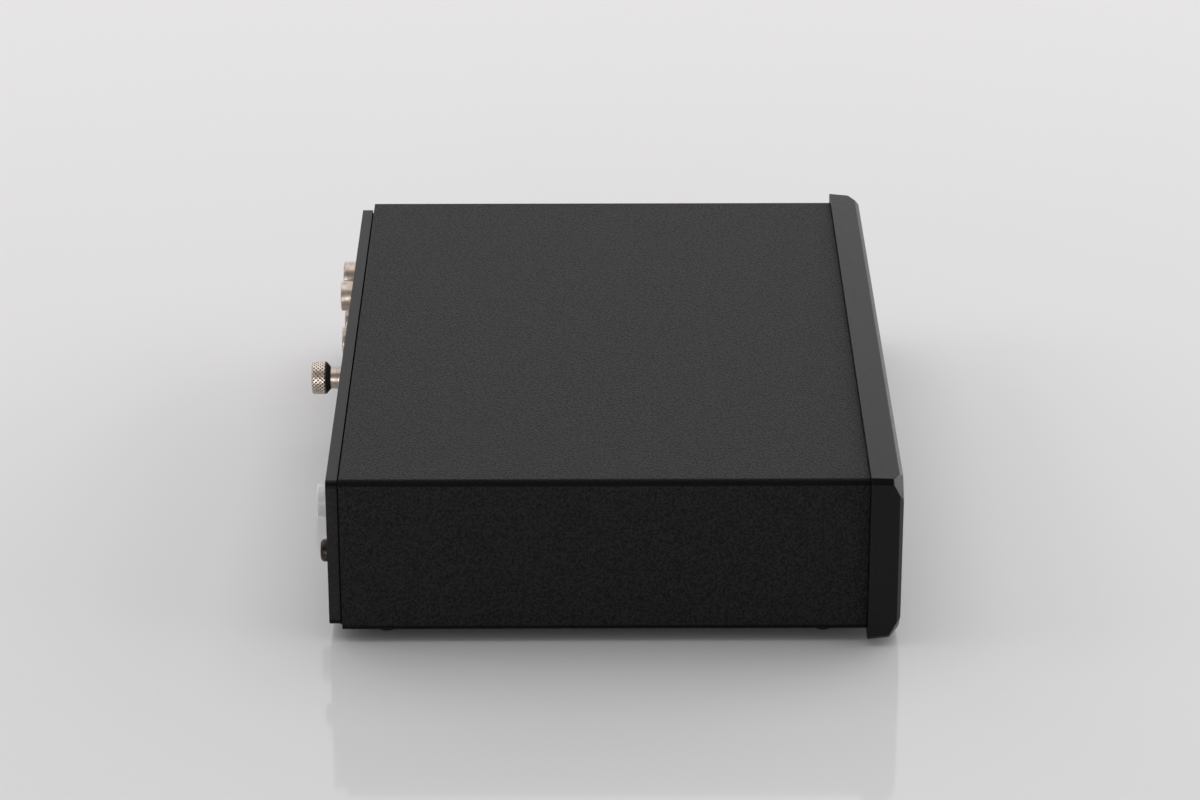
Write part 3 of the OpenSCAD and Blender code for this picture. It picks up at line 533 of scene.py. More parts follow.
def studio_floor(name, colour):
    """Glossy pale acrylic with faint clouds."""
    finish = Finish(name, Specular_IOR_Level=0.28)
    haze = finish.noise(0.35)
    return finish.surface(finish.shades(haze, colour, 0.985, 1.015), 0.05 + 0.03 * haze)


def finish_makers():
    """What makes the finish of each material slot."""
    colours = bpy.context.scene.preamp_colours
    return {
        "cover_coat": (textured_coat, colours.cover),
        "front_coat": (front_coat, colours.front, colours.wear_and_highlight),
        "rear_coat": (rear_coat, colours.rear),
        "tray_steel": (tray_coat_and_seam_shade, colours.tray),
        "foot_rubber": (rubber, colours.rubber),
        "zinc_screw": (sheet_metal, (0.62, 0.62, 0.63), 0.26),
        "black_screw": (blackened, (0.022, 0.02, 0.019), (0.095, 0.075, 0.06)),
        "button_black": (anodised, (0.035, 0.035, 0.038)),
        "plunger_white": (moulded, (0.75, 0.74, 0.7)),
        "switch_black": (moulded, (0.03, 0.035, 0.045)),
        "clear_plastic": (clear, (0.93, 0.95, 0.98)),
        "diode_lens": (clear, (0.72, 0.86, 0.95), 0.08),
        "board_green": (circuit_board, (0.012, 0.105, 0.035)),
        "pillar_nickel": (plated, (0.66, 0.65, 0.63), 0.28),
        "header_black": (moulded, (0.022, 0.022, 0.024)),
        "ribbon_grey": (ribbed, (0.32, 0.33, 0.36), 0.0009),
        "housing_black": (moulded, (0.014, 0.014, 0.015), 0.48),
        "shell_nickel": (plated, colours.nickel, 0.37),
        "insulator_white": (moulded, colours.white, 0.34),
        "insulator_red": (moulded, colours.red, 0.34),
        "contact_gold": (plated, (0.86, 0.66, 0.34), 0.22),
        "post_nickel": (knurled, colours.nickel, 0.28),
        "washer_black": (moulded, (0.035, 0.032, 0.03), 0.42),
        "lug_tin": (sheet_metal, (0.68, 0.67, 0.64)),
        "nut_zinc": (sheet_metal, (0.6, 0.6, 0.61)),
        "wire_green": (moulded, (0.03, 0.2, 0.05), 0.3),
        "socket_black": (moulded, (0.015, 0.015, 0.016), 0.36),
        "collar_milky": (milky, colours.milky),
        "wire_red": (moulded, (0.4, 0.02, 0.02), 0.3),
        "header_cream": (moulded, (0.76, 0.73, 0.64)),
        "can_blue": (sleeved, (0.018, 0.035, 0.09), (0.45, 0.47, 0.5)),
        "film_red": (moulded, (0.28, 0.03, 0.02), 0.28),
        "chip_black": (moulded, (0.018, 0.018, 0.02), 0.5),
        "heatsink_black": (anodised, (0.03, 0.03, 0.032)),
        "relay_cream": (moulded, (0.68, 0.66, 0.6), 0.36),
        "resistor_blue": (banded, (0.2, 0.42, 0.52), (0.12, 0.05, 0.03)),
    }


def finish_of(slot):
    """The material of a slot, made the first time that it is asked for."""
    found = bpy.data.materials.get("finish_" + slot)
    if found:
        return found
    maker, *values = finish_makers()[slot]
    return maker("finish_" + slot, *values)


# ---- meshes ----


def block(low, high):
    """A box between two corners."""
    low, high = Vector(low), Vector(high)
    bm = bmesh.new()
    shape = Matrix.Translation((low + high) / 2) @ Matrix.Diagonal((*(high - low), 1))
    bmesh.ops.create_cube(bm, size=1, matrix=shape)
    return bm


def turned(profile, steps=64, closed=False):
    """A solid turned about Z from a profile of (radius, height).

    An open profile starts and ends on the axis, and a closed one goes round a bore.
    """
    bm = bmesh.new()
    corners = [bm.verts.new((radius, 0, height)) for radius, height in profile]
    for pair in zip(corners, corners[1:] + (corners[:1] if closed else [])):
        bm.edges.new(pair)
    bmesh.ops.spin(
        bm, geom=bm.verts[:] + bm.edges[:], cent=(0, 0, 0), axis=(0, 0, 1), dvec=(0, 0, 0),
        angle=math.tau, steps=steps, use_merge=True,
    )
    bmesh.ops.remove_doubles(bm, verts=bm.verts, dist=MERGE)
    bmesh.ops.recalc_face_normals(bm, faces=bm.faces)
    return bm


def stand(bm, place, direction):
    """Turns a mesh's own Z to a direction and moves it to its place."""
    turn = Vector(direction).to_track_quat("Z", "Y").to_matrix().to_4x4()
    bmesh.ops.transform(bm, matrix=Matrix.Translation(place) @ turn, verts=bm.verts)
    return bm


def lathe(profile, start, steps=64, closed=False):
    """A turned solid with its axis along Y."""
    return stand(turned(profile, steps, closed), start, BACK)


def seat(box):
    """Where a solid turned about Y starts on its axis, its largest radius and its length."""
    low, high = box
    span = high - low
    start = Vector(((low.x + high.x) / 2, low.y, (low.z + high.z) / 2))
    return start, max(span.x, span.z) / 2, span.y


def rod(radius, low, high):
    """Profile of a plain rod."""
    return [(0, low), (radius, low), (radius, high), (0, high)]


def arc(radius, height, bend, start, end, count=4):
    """Points of a profile on an arc of radius bend round (radius, height), angles in degrees."""
    turns = [math.radians(start + (end - start) * i / count) for i in range(count + 1)]
    return [(radius + bend * math.cos(turn), height + bend * math.sin(turn)) for turn in turns]


def corner(radius, height, bend):
    """Points of a profile round its far outer corner."""
    return arc(radius - bend, height - bend, bend, 0, 90)


def rounded(bm, edges, width, segments, clamp=True):
    """Rounds edges of a mesh."""
    bmesh.ops.bevel(
        bm, geom=edges, offset=width, segments=segments, profile=0.5, affect="EDGES",
        material=-1, clamp_overlap=clamp,
    )
    return bm


def soften(bm, width):
    """Rounds every edge that turns more than the angle ROUNDED."""
    edges = [edge for edge in bm.edges if edge.is_manifold and edge.calc_face_angle() > ROUNDED]
    return rounded(bm, edges, width, 2)


def slice_off(bm, point, normal):
    """Takes away all that lies past a plane, and closes the cut."""
    everything = bm.verts[:] + bm.edges[:] + bm.faces[:]
    sliced = bmesh.ops.bisect_plane(
        bm, geom=everything, plane_co=point, plane_no=normal, clear_outer=True
    )
    rim = [part for part in sliced["geom_cut"] if isinstance(part, bmesh.types.BMEdge)]
    bmesh.ops.holes_fill(bm, edges=rim)


def mesh_of(name, bm):
    """Turns a bmesh into a mesh."""
    mesh = bpy.data.meshes.new(name)
    bm.to_mesh(mesh)
    bm.free()
    return mesh


def added(name, data):
    """Adds an object to the scene."""
    made = bpy.data.objects.new(name, data)
    bpy.context.scene.collection.objects.link(made)
    return made


def joined(parts):
    """One mesh of several."""
    whole = bmesh.new()
    for part in parts:
        mesh = mesh_of("scratch", part)
        whole.from_mesh(mesh)
        bpy.data.meshes.remove(mesh)
    return whole


def combined(first, second, operation):
    """What a boolean operation makes of two meshes."""
    body, tool = holders = [added("scratch", mesh_of("scratch", bm)) for bm in (first, second)]
    modifier = body.modifiers.new("combine", "BOOLEAN")
    modifier.operation = operation
    modifier.solver = "EXACT"
    modifier.object = tool
    result = bmesh.new()
    result.from_object(body, bpy.context.evaluated_depsgraph_get())
    for holder in holders:
        mesh = holder.data
        bpy.data.objects.remove(holder)
        bpy.data.meshes.remove(mesh)
    return result


def cut(bm, tools):
    """Takes the solids in the list tools away from a mesh."""
    return combined(bm, joined(tools), "DIFFERENCE")


def solids(node):
    """(lowest, highest corner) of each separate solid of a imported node."""
    bm = bmesh.new()
    bm.from_mesh(frame["nodes"][node].data)
    bmesh.ops.remove_doubles(bm, verts=bm.verts, dist=1e-6)
    left = set(bm.verts)
    found = []
    while left:
        island, front = set(), [left.pop()]
        while front:
            vert = front.pop()
            island.add(vert)
            fresh = {edge.other_vert(vert) for edge in vert.link_edges} & left
            left -= fresh
            front.extend(fresh)
        points = [vert.co.copy() for vert in island]
        found.append((Vector(map(min, *points)), Vector(map(max, *points))))
    bm.free()
    return sorted(found, key=lambda box: tuple(box[0]))


def slot_and_body(node):
    """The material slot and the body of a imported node."""
    record = frame["record"]
    slot = next(part["material_slot"] for part in record["subparts"] if part["node"] == node)
    bodies = record["behaviour"]["bodies"].items()
    return slot, next(body for body, members in bodies if node in members)


def piece(name, bm, node):
    """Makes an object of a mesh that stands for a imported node, with its finish and body."""
    slot, body = slot_and_body(node)
    mesh = mesh_of(name, bm)
    if not mesh.polygons:
        raise RuntimeError(f"{name} came out empty")
    mesh.shade_smooth()
    mesh.set_sharp_from_angle(angle=CREASED)
    mesh.materials.append(finish_of(slot))
    made = added(name, mesh)
    made.modifiers.new("even_shading", "WEIGHTED_NORMAL").keep_sharp = True
    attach(made, body)
    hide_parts(node)


# ---- casing ----


class PREAMP_OT_cover(bpy.types.Operator):
    """Models the folded cover with its lips"""

    bl_idname = "preamp.cover"
    bl_label = "Cover"

    def execute(self, context):
        sizes = context.scene.preamp_casing
        low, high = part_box("cover")
        line = [
            (low.x + sizes.lip, low.z), (low.x, low.z), (low.x, high.z),
            (high.x, high.z), (high.x, low.z), (high.x - sizes.lip, low.z),
        ]
        bm = bmesh.new()
        points = [bm.verts.new((x, low.y, z)) for x, z in line]
        edges = [bm.edges.new(pair) for pair in zip(points, points[1:])]
        swept = bmesh.ops.extrude_edge_only(bm, edges=edges)["geom"]
        moved = [part for part in swept if isinstance(part, bmesh.types.BMVert)]
        bmesh.ops.translate(bm, vec=(0, high.y - low.y, 0), verts=moved)
        folds = [edge for edge in bm.edges if len(edge.link_faces) == 2]
        rounded(bm, folds, sizes.fold, 8, clamp=False)
        if max(bm.faces, key=lambda face: face.calc_center_median().z).normal.z < 0:
            bmesh.ops.reverse_faces(bm, faces=bm.faces)
        bmesh.ops.solidify(bm, geom=bm.faces[:], thickness=sizes.sheet)
        radius = context.scene.preamp_controls.screw / 2 + FIT
        holes = []
        for box in solids("cover_screws"):
            centre = (box[0] + box[1]) / 2
            tool = turned(rod(radius, -PAST, 3 * PAST), 24)
            holes.append(stand(tool, (centre.x, centre.y, low.z), UP))
        piece("cover_sheet", soften(cut(bm, holes), sizes.round), "cover")
        return {"FINISHED"}


class PREAMP_OT_front_panel(bpy.types.Operator):
    """Models the thick front panel with its chamfers, corner facets and holes"""

    bl_idname = "preamp.front_panel"
    bl_label = "Front panel"

    def execute(self, context):
        sizes = context.scene.preamp_casing
        low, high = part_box("front_panel")
        depth = high.y - low.y
        inset = sizes.draft + sizes.face_chamfer
        bm = block(low, high)
        sides = [(-1, low.x), (1, high.x)]
        levels = [(-1, low.z), (1, high.z)]
        for side, x in sides:
            slice_off(bm, (x, high.y, 0), (side * depth, -sizes.draft, 0))
            slice_off(bm, (x - side * inset, low.y, 0), (side, -1, 0))
        for up, z in levels:
            slice_off(bm, (0, high.y, z), (0, -sizes.draft, up * depth))
            slice_off(bm, (0, low.y, z - up * inset), (0, -1, up))
        corners = [(*side, *level) for side in sides for level in levels]
        for side, x, up, z in corners:
            lean = (side * depth, -2 * sizes.draft, up * depth)
            slice_off(bm, (x - side * sizes.edge_chamfer, high.y, z), lean)
        reach = sizes.facet_reach
        for side, x, up, z in corners:
            lean = (side / reach, -1 / sizes.facet_depth, up / reach)
            slice_off(bm, (x - side * reach, low.y, z), lean)
        bmesh.ops.recalc_face_normals(bm, faces=bm.faces)
        facets = [face for face in bm.faces if min(abs(part) for part in face.normal) > 0.2]
        rounded(bm, list({edge for face in facets for edge in face.edges}), sizes.facet_round, 4)
        holes = self.holes(context.scene.preamp_controls, low.y, high.y)
        piece("front_slab", soften(cut(bm, holes), sizes.round), "front_panel")
        return {"FINISHED"}

    def holes(self, sizes, front, back):
        """Holes for the buttons and the light pipes, and blind ones for the screws behind."""
        depth = back - front
        stepped = []
        for name in BUTTONS:
            start, collar, _ = seat(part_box(name + "_button"))
            narrow = collar - sizes.collar_step + sizes.button_gap
            wide = collar + 2 * sizes.button_gap
            stepped.append((start, narrow, wide, depth - sizes.pocket, 64))
        for box in solids("light_pipes"):
            start, collar, _ = seat(box)
            narrow = collar - sizes.light_step + FIT
            stepped.append((start, narrow, collar + FIT, depth - sizes.light_collar, 32))
        made = []
        for start, narrow, wide, step, steps in stepped:
            profile = [
                (0, -PAST), (narrow, -PAST), (narrow, step),
                (wide, step), (wide, depth + PAST), (0, depth + PAST),
            ]
            made.append(lathe(profile, (start.x, front, start.z), steps))
        for box in solids("front_panel_screws"):
            start = seat(box)[0]
            blind = rod(sizes.screw / 2 + FIT, start.y - back - 0.0005, PAST)
            made.append(lathe(blind, (start.x, back, start.z), 24))
        return made


class PREAMP_OT_rear_panel(bpy.types.Operator):
    """Models the rear panel with its rounded corners and holes"""

    bl_idname = "preamp.rear_panel"
    bl_label = "Rear panel"

    def execute(self, context):
        casing, rear = context.scene.preamp_casing, context.scene.preamp_rear
        low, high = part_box("rear_panel")
        bm = block(low, high)
        corners = [e for e in bm.edges if abs(e.verts[0].co.y - e.verts[1].co.y) > MERGE]
        rounded(bm, corners, casing.rear_corner, 8, clamp=False)
        shank = context.scene.preamp_controls.screw / 2 + FIT
        jacks = [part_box(name + "_shell") for name in JACKS]
        holes = [(box, (box[1].x - box[0].x) / 2 + rear.jack_gap) for box in jacks]
        holes += [(box, shank) for box in solids("rear_panel_screws")]
        holes += [
            (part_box("jack_housing_screw"), shank),
            (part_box("ground_post"), rear.thread / 2 + FIT),
            (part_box("socket_body"), rear.bush + FIT),
        ]
        drilled = []
        for box, radius in holes:
            start = seat(box)[0]
            start.y = low.y
            drilled.append(lathe(rod(radius, -PAST, high.y - low.y + PAST), start, 48))
        piece("rear_plate", soften(cut(bm, drilled), casing.round), "rear_panel")
        return {"FINISHED"}


class PREAMP_OT_feet(bpy.types.Operator):
    """Models the four rubber feet"""

    bl_idname = "preamp.feet"
    bl_label = "Feet"

    def execute(self, context):
        sizes = context.scene.preamp_casing
        hole = context.scene.preamp_controls.screw / 2 + FIT
        head_low, head_high = solids("foot_screws")[0]
        hollow = (head_high.x - head_low.x) / 2 + 0.0002
        chamfer, shoulder = 0.0003, 0.0006
        edge = sizes.foot_round
        for place in ("front_left", "front_right", "rear_left", "rear_right"):
            low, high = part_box("foot_" + place)
            span = high - low
            radius = max(span.x, span.y) / 2
            profile = [
                (hole, sizes.foot_seat), (hollow, sizes.foot_seat), (hollow, chamfer),
                (hollow + chamfer, 0),
                *arc(radius - sizes.foot_taper - edge, edge, edge, -90, -6, 6),
                (radius, high.z - shoulder), (radius - chamfer, high.z), (hole, high.z),
            ]
            centre = (low + high) / 2
            bm = stand(turned(profile, closed=True), (centre.x, centre.y, 0), UP)
            piece("rubber_foot_" + place, bm, "foot_" + place)
        return {"FINISHED"}


# ---- screws ----


class PREAMP_OT_screws(bpy.types.Operator):
    """Models the pan head screws that show from outside"""

    bl_idname = "preamp.screws"
    bl_label = "Screws"

    def execute(self, context):
        sets = {
            "foot_screw_set": ("foot_screws", DOWN),
            "cover_screw_set": ("cover_screws", DOWN),
            "rear_screw_set": ("rear_panel_screws", BACK),
            "housing_screw": ("jack_housing_screw", BACK),
        }
        sizes = context.scene.preamp_controls
        for name, (node, direction) in sets.items():
            screws = [self.screw(sizes, box, direction) for box in solids(node)]
            piece(name, joined(screws), node)
        return {"FINISHED"}

    def screw(self, sizes, box, direction):
        """One screw in the box of its solid, its head towards the direction."""
        span = box[1] - box[0]
        total = abs(span.dot(direction))
        radius = max(abs(part) for part in span.cross(direction)) / 2
        shank = total - sizes.head
        side, dome = sizes.head * 0.36, sizes.head * 0.64
        thread = sizes.screw / 2
        profile = [
            (0, -shank), (thread - LEAD, -shank), (thread, LEAD - shank), (thread, 0),
            (radius - BREAK, 0), (radius, BREAK), (radius, side),
            *arc(radius - dome, side, dome, 8, 90, 6), (0, sizes.head),
        ]
        under_head = (box[0] + box[1]) / 2 + direction * (total / 2 - sizes.head)
        return stand(cut(turned(profile, 48), [self.recess(sizes)]), under_head, direction)

    def recess(self, sizes):
        """The cross that a driver fits, narrower at its foot."""
        arms = []
        long, wide = sizes.recess / 2, sizes.recess_slot / 2
        floor, top = sizes.head * 0.3, sizes.head * 1.2
        narrowing = (0.45, 0.7, 1)
        for turn in (0, math.pi / 2):
            bm = block((-long, -wide, floor), (long, wide, top))
            foot = [vert for vert in bm.verts if vert.co.z < sizes.head / 2]
            bmesh.ops.scale(bm, vec=narrowing, verts=foot)
            bmesh.ops.rotate(bm, matrix=Matrix.Rotation(turn, 3, "Z"), verts=bm.verts)
            arms.append(bm)
        return combined(*arms, "UNION")


# ---- front controls ----

BUTTONS = ("power", "cartridge", "filter")


class PREAMP_OT_buttons(bpy.types.Operator):
    """Models the three push buttons"""

    bl_idname = "preamp.buttons"
    bl_label = "Buttons"

    dish = ((0, 0.0003), (0.35, 0.00025), (0.65, 0.00012))  # part of the radius, depth

    def execute(self, context):
        sizes = context.scene.preamp_controls
        edge, gap = 0.0004, 0.0001
        for name in BUTTONS:
            start, collar, _ = seat(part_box(name + "_button"))
            cap = collar - sizes.collar_step
            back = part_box("front_panel")[1].y - start.y
            front = back - sizes.pocket + gap
            behind = front + sizes.collar
            end = back + sizes.tail_end
            profile = [
                *((cap * part, depth) for part, depth in self.dish),
                (cap - edge - gap, 0.00001), *arc(cap - edge, edge, edge, -90, 0),
                (cap, front), (collar, front), (collar, behind), (sizes.tail, behind),
                (sizes.tail, end), (0, end),
            ]
            piece(name + "_cap", lathe(profile, start, 96), name + "_button")
        return {"FINISHED"}


class PREAMP_OT_light_pipes(bpy.types.Operator):
    """Models the three light pipes"""

    bl_idname = "preamp.light_pipes"
    bl_label = "Light pipes"

    dome = ((0, 0), (0.35, 0.00002), (0.7, 0.0001), (0.92, 0.00022), (1, 0.0004))

    def execute(self, context):
        sizes = context.scene.preamp_controls
        pipes = []
        for box in solids("light_pipes"):
            start, collar, total = seat(box)
            radius = collar - sizes.light_step
            behind = total - sizes.light_end
            front = behind - sizes.light_collar + FIT
            profile = [
                *((radius * part, depth) for part, depth in self.dome),
                (radius, front), (collar, front), (collar, behind), (radius, behind),
                (radius, total), (0, total),
            ]
            pipes.append(lathe(profile, start, 40))
        piece("light_pipe_set", joined(pipes), "light_pipes")
        return {"FINISHED"}


# ---- jacks ----

JACKS = ("input_left", "input_right", "output_left", "output_right")


class PREAMP_OT_jacks(bpy.types.Operator):
    """Models the shells, insulators and centre contacts of the four phono jacks"""

    bl_idname = "preamp.jacks"
    bl_label = "Jacks"

    def execute(self, context):
        sizes = context.scene.preamp_rear
        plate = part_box("rear_panel")[1].y
        for name in JACKS:
            start, radius, total = seat(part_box(name + "_shell"))
            neck = radius - sizes.shell_relief
            bore = radius - sizes.shell_wall
            root = plate - start.y + sizes.shell_root
            profile = [
                (bore, 0), (neck, 0), (neck, root), (radius - BREAK, root), (radius, root + BREAK),
                *corner(radius, total, 0.00035), (bore + BREAK, total), (bore, total - BREAK),
            ]
            piece(name + "_ring", lathe(profile, start, 80, closed=True), name + "_shell")
        contact = seat(solids("jack_contacts")[0])[1]
        self.insulators(contact)
        self.contacts(sizes, contact)
        return {"FINISHED"}

    def insulators(self, bore):
        """Rings between shell and contact, with a shallow groove in their faces."""
        chamfer, land, groove = 0.00015, 0.0005, 0.00012
        for side in ("left", "right"):
            rings = []
            for box in solids(side + "_insulators"):
                start, radius, total = seat(box)
                profile = [
                    (bore, 0), (radius, 0), (radius, total - chamfer), (radius - chamfer, total),
                    (radius - land, total), (radius - land - BREAK, total - groove),
                    (bore + land, total - groove), (bore + land - BREAK, total), (bore, total),
                ]
                rings.append(lathe(profile, start, closed=True))
            piece(side + "_insulator_set", joined(rings), side + "_insulators")

    def contacts(self, sizes, radius):
        """Split tubes that grip a plug's centre pin."""
        bore = sizes.contact_bore / 2
        reach, half, depth = 0.003, 0.00015, 0.004
        tubes = []
        for box in solids("jack_contacts"):
            start, _, total = seat(box)
            floor = total - sizes.contact_depth
            profile = [
                (0, 0), (radius, 0), (radius, total - BREAK), (radius - BREAK, total),
                (bore + BREAK, total), (bore, total - BREAK), (bore, floor), (0, floor),
            ]
            slots = [
                block((-x, -y, total - depth), (x, y, total + PAST))
                for x, y in ((reach, half), (half, reach))
            ]
            tubes.append(stand(cut(turned(profile, 48), [combined(*slots, "UNION")]), start, BACK))
        piece("contact_set", joined(tubes), "jack_contacts")


# ---- ground post ----


class PREAMP_OT_ground_post(bpy.types.Operator):
    """Models the ground post with its collar and thread, and its washer"""

    bl_idname = "preamp.ground_post"
    bl_label = "Ground post"

    def execute(self, context):
        sizes = context.scene.preamp_rear
        start, radius, total = seat(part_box("ground_post"))
        plate = Vector((start.x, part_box("rear_panel")[1].y, start.z))
        inside = start.y - plate.y
        stud = inside + total
        crest = sizes.thread / 2
        root = crest - 0.00038
        lead, step_break, tip = 0.0004, 0.00008, 0.0002
        slim = radius - sizes.collar_drop
        step, end = sizes.collar_step, sizes.collar
        profile = [
            (0, inside), (crest - lead, inside), (crest, inside + lead), (crest, 0),
            (radius - BREAK, 0), (radius, BREAK), (radius, step - step_break),
            (radius - step_break, step), (slim, step), (slim, end - BREAK), (slim - BREAK, end),
            (root, end),
        ]
        height = end + BREAK
        while height + sizes.thread_pitch < stud - 0.0003:
            profile += [(root, height), (crest, height + sizes.thread_pitch / 2)]
            height += sizes.thread_pitch
        profile += [(root, height), (root, stud - tip), (root - tip, stud), (0, stud)]
        piece("post_stud", lathe(profile, plate, 72), "ground_post")
        self.washer(crest + BREAK, radius)
        return {"FINISHED"}

    def washer(self, bore, narrow):
        """Cone between the collar and the thumb nut."""
        start, wide, total = seat(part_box("ground_washer"))
        profile = [
            (bore, 0), (narrow - BREAK, 0), (narrow, BREAK),
            (wide, total - 0.00012), (wide - BREAK, total), (bore, total),
        ]
        piece("post_washer_ring", lathe(profile, start, 72, closed=True), "ground_washer")


class PREAMP_OT_thumb_nut(bpy.types.Operator):
    """Models the thumb nut with its diamond knurl"""

    bl_idname = "preamp.thumb_nut"
    bl_label = "Thumb nut"

    steps = 12  # along and round each diamond
    edge = 0.0002  # plain edge before the knurl

    def execute(self, context):
        sizes = context.scene.preamp_rear
        start, radius, total = seat(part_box("thumb_nut"))
        bore = sizes.thread / 2 + FIT
        crown, rim, relief = 0.00045, 0.0012, 0.00025
        step = sizes.knurl_pitch / self.steps
        rows = int((total - crown - self.edge) / step)
        profile = [
            (bore, BREAK), (bore + BREAK, 0), (radius - self.edge, 0),
            *((radius, self.edge + i * step) for i in range(rows + 1)),
            *arc(radius - crown, total - crown, crown, 15, 90),
            (bore + rim, total), (bore + rim - self.edge, total - relief),
            (bore + BREAK, total - relief), (bore, total - relief - BREAK),
        ]
        bm = turned(profile, self.steps * sizes.knurls, closed=True)
        for vert in bm.verts:
            self.knurl(vert, radius, sizes)
        piece("knurled_nut", stand(bm, start, BACK), "thumb_nut")
        return {"FINISHED"}

    def knurl(self, vert, radius, sizes):
        """Sinks a point of the rim into a pit between the two crossing families of ridges."""
        reach = vert.co.xy.length
        if reach < radius - sizes.knurl_depth:
            return
        round_part = math.atan2(vert.co.y, vert.co.x) / math.tau * sizes.knurls
        long_part = (vert.co.z - self.edge) / sizes.knurl_pitch
        ridges = [abs((round_part + way * long_part) % 1 - 0.5) * 2 for way in (-1, 1)]
        depth = sizes.knurl_depth * min(1, max(0, 1.1 - 1.8 * max(ridges)))
        vert.co.xy *= (reach - depth) / reach


# ---- power socket ----


class PREAMP_OT_power_socket(bpy.types.Operator):
    """Models the bush, the milky collar and the pin of the power socket"""

    bl_idname = "preamp.power_socket"
    bl_label = "Power socket"

    def execute(self, context):
        sizes = context.scene.preamp_rear
        start, radius, total = seat(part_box("socket_body"))
        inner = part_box("rear_panel")[0].y - start.y
        bush, bore = sizes.bush, sizes.plug_bore / 2
        floor = inner - sizes.plug_depth
        rim, mouth = 0.0002, 0.0003
        profile = [
            (0, 0), (radius, 0), (radius, inner), (bush, inner), (bush, total - rim),
            (bush - rim, total), (bore + mouth, total), (bore, total - mouth),
            (bore, floor), (0, floor),
        ]
        piece("socket_bush", lathe(profile, start, 72), "socket_body")
        ring, radius, total = seat(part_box("socket_collar"))
        start.y = ring.y
        profile = [
            (bush + FIT, 0), (radius - BREAK, 0), (radius, BREAK),
            *corner(radius, total, 0.0003), (bush + FIT, total),
        ]
        piece("socket_ring", lathe(profile, start, 72, closed=True), "socket_collar")
        pin, radius, total = seat(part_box("socket_pin"))
        start.y = pin.y
        profile = [(0, 0), (radius, 0), *corner(radius, total, 0.0006), (0, total)]
        piece("socket_centre_pin", lathe(profile, start, 40), "socket_pin")
        return {"FINISHED"}


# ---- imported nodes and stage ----


class PREAMP_OT_finishes(bpy.types.Operator):
    """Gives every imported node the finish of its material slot"""

    bl_idname = "preamp.finishes"
    bl_label = "Finishes"

    def execute(self, context):
        for name, node in frame["nodes"].items():
            finish = finish_of(slot_and_body(name)[0])
            if not node.material_slots:
                raise RuntimeError(f"{name} has no material slot")
            for slot in node.material_slots:
                slot.material = finish
        return {"FINISHED"}


LAMPS = {  # power, place and size
    "over": (13.9, (0.35, 0, 1.7), (2.2, 2.0)),
    "far_wall": (13.6, (2.2, 0, 0.9), (3.2, 1.6)),
    "far_left": (2.6, (1.1, 1.3, 0.9), (0.9, 0.9)),
    "left": (4.9, (0, 1.6, 1.0), (1.0, 1.2)),
    "right_wall": (19.0, (0.4, -2.0, 0.8), (3.2, 1.5)),
    "near_wall": (3.0, (-2.2, 0.5, 0.6), (2.4, 1.1)),
    "near_low": (2.9, (-1.6, 0.35, 0.15), (0.6, 0.26)),
    "far_corner": (11.0, (1.7, -1.9, 0.4), (1.8, 0.85)),
}
VIEW_RANGE = (0.05, 50)  # nearest and farthest that the camera sees


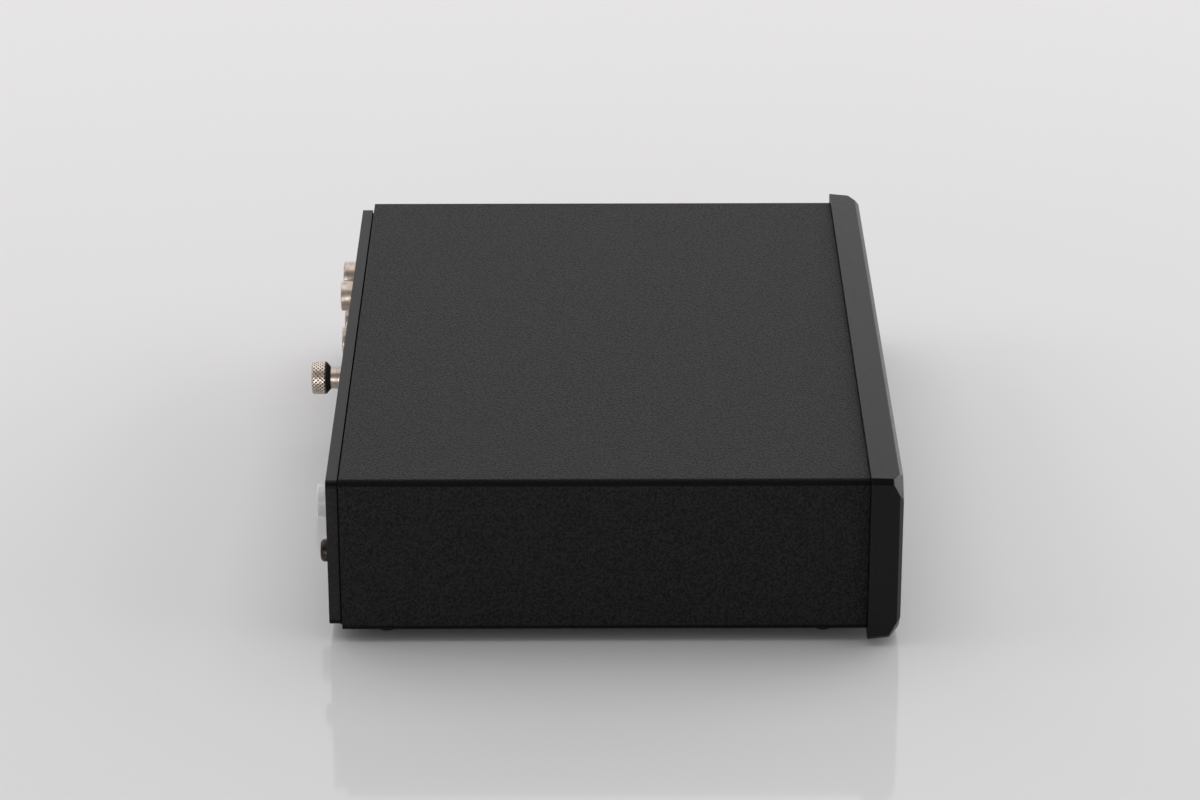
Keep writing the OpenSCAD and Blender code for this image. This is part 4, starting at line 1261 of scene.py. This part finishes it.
class PREAMP_OT_stage(bpy.types.Operator):
    """Sets up the floor, the lamps, the world and the camera"""

    bl_idname = "preamp.stage"
    bl_label = "Stage"

    def execute(self, context):
        settings = context.scene.preamp_stage
        self.camera(context, settings)
        self.floor(settings)
        self.world(context, settings)
        for name, lamp in LAMPS.items():
            self.lamp(settings, name, *lamp)
        context.scene.view_settings.view_transform = "Standard"
        return {"FINISHED"}

    def camera(self, context, settings):
        """A camera that looks at the left side from a little above."""
        data = bpy.data.cameras.new("camera")
        data.lens = settings.focal
        data.clip_start, data.clip_end = VIEW_RANGE
        made = added("camera", data)
        across = Vector((math.cos(settings.yaw), math.sin(settings.yaw), 0))
        look = across * math.cos(settings.pitch) + DOWN * math.sin(settings.pitch)
        turn = look.to_track_quat("-Z", "Y").to_matrix().to_4x4()
        roll = Matrix.Rotation(settings.roll, 4, "Z")
        made.matrix_world = Matrix.Translation(settings.place) @ turn @ roll
        context.scene.camera = made

    def floor(self, settings):
        """A pale glossy floor."""
        bm = bmesh.new()
        bmesh.ops.create_grid(bm, x_segments=1, y_segments=1, size=settings.floor_size / 2)
        mesh = mesh_of("floor", bm)
        mesh.materials.append(studio_floor("finish_floor", settings.floor_shade))
        added("floor", mesh)

    def world(self, context, settings):
        """A plain pale surround."""
        world = bpy.data.worlds.new("surround")
        world.use_nodes = True
        background = world.node_tree.nodes["Background"]
        background.inputs["Color"].default_value = (*settings.world_shade, 1)
        background.inputs["Strength"].default_value = 1
        context.scene.world = world

    def lamp(self, settings, name, power, place, size):
        """A rectangular lamp that points at the middle of the stage."""
        data = bpy.data.lights.new(name, "AREA")
        data.shape = "RECTANGLE"
        data.size, data.size_y = size
        data.energy = power * settings.lamp_power
        data.color = settings.lamp_shade
        made = added(name, data)
        made.visible_camera = False
        made.location = place
        made.rotation_euler = (-Vector(place)).to_track_quat("-Z", "Y").to_euler()


PIECE_OPERATORS = (
    PREAMP_OT_stage,
    PREAMP_OT_finishes,
    PREAMP_OT_cover,
    PREAMP_OT_front_panel,
    PREAMP_OT_rear_panel,
    PREAMP_OT_feet,
    PREAMP_OT_screws,
    PREAMP_OT_buttons,
    PREAMP_OT_light_pipes,
    PREAMP_OT_jacks,
    PREAMP_OT_ground_post,
    PREAMP_OT_thumb_nut,
    PREAMP_OT_power_socket,
)


class PREAMP_PT_parts(bpy.types.Panel):
    """Lists the parts and their settings in the sidebar"""

    bl_idname = "PREAMP_PT_parts"
    bl_label = "Phono preamplifier"
    bl_space_type = "VIEW_3D"
    bl_region_type = "UI"
    bl_category = "Preamplifier"

    def draw(self, context):
        for operator in PIECE_OPERATORS:
            self.layout.operator(operator.bl_idname)
        for attribute, group in SETTINGS.items():
            box = self.layout.box()
            for name in group.__annotations__:
                box.prop(getattr(context.scene, attribute), name)


CLASSES = (*SETTINGS.values(), *PIECE_OPERATORS, PREAMP_PT_parts)


def register():
    """Registers the classes and the settings of a scene."""
    for cls in CLASSES:
        bpy.utils.register_class(cls)
    for attribute, group in SETTINGS.items():
        setattr(bpy.types.Scene, attribute, bpy.props.PointerProperty(type=group))


def unregister():
    """Takes the settings and the classes away again."""
    for attribute in SETTINGS:
        delattr(bpy.types.Scene, attribute)
    for cls in reversed(CLASSES):
        bpy.utils.unregister_class(cls)


def main():
    """Makes the whole object."""
    register()
    for operator in PIECE_OPERATORS:
        call = getattr(bpy.ops.preamp, operator.bl_idname.split(".")[1])
        if call() != {"FINISHED"}:
            raise RuntimeError(f"{operator.bl_label} wasn't finished")


if __name__ == "__main__":
    main()
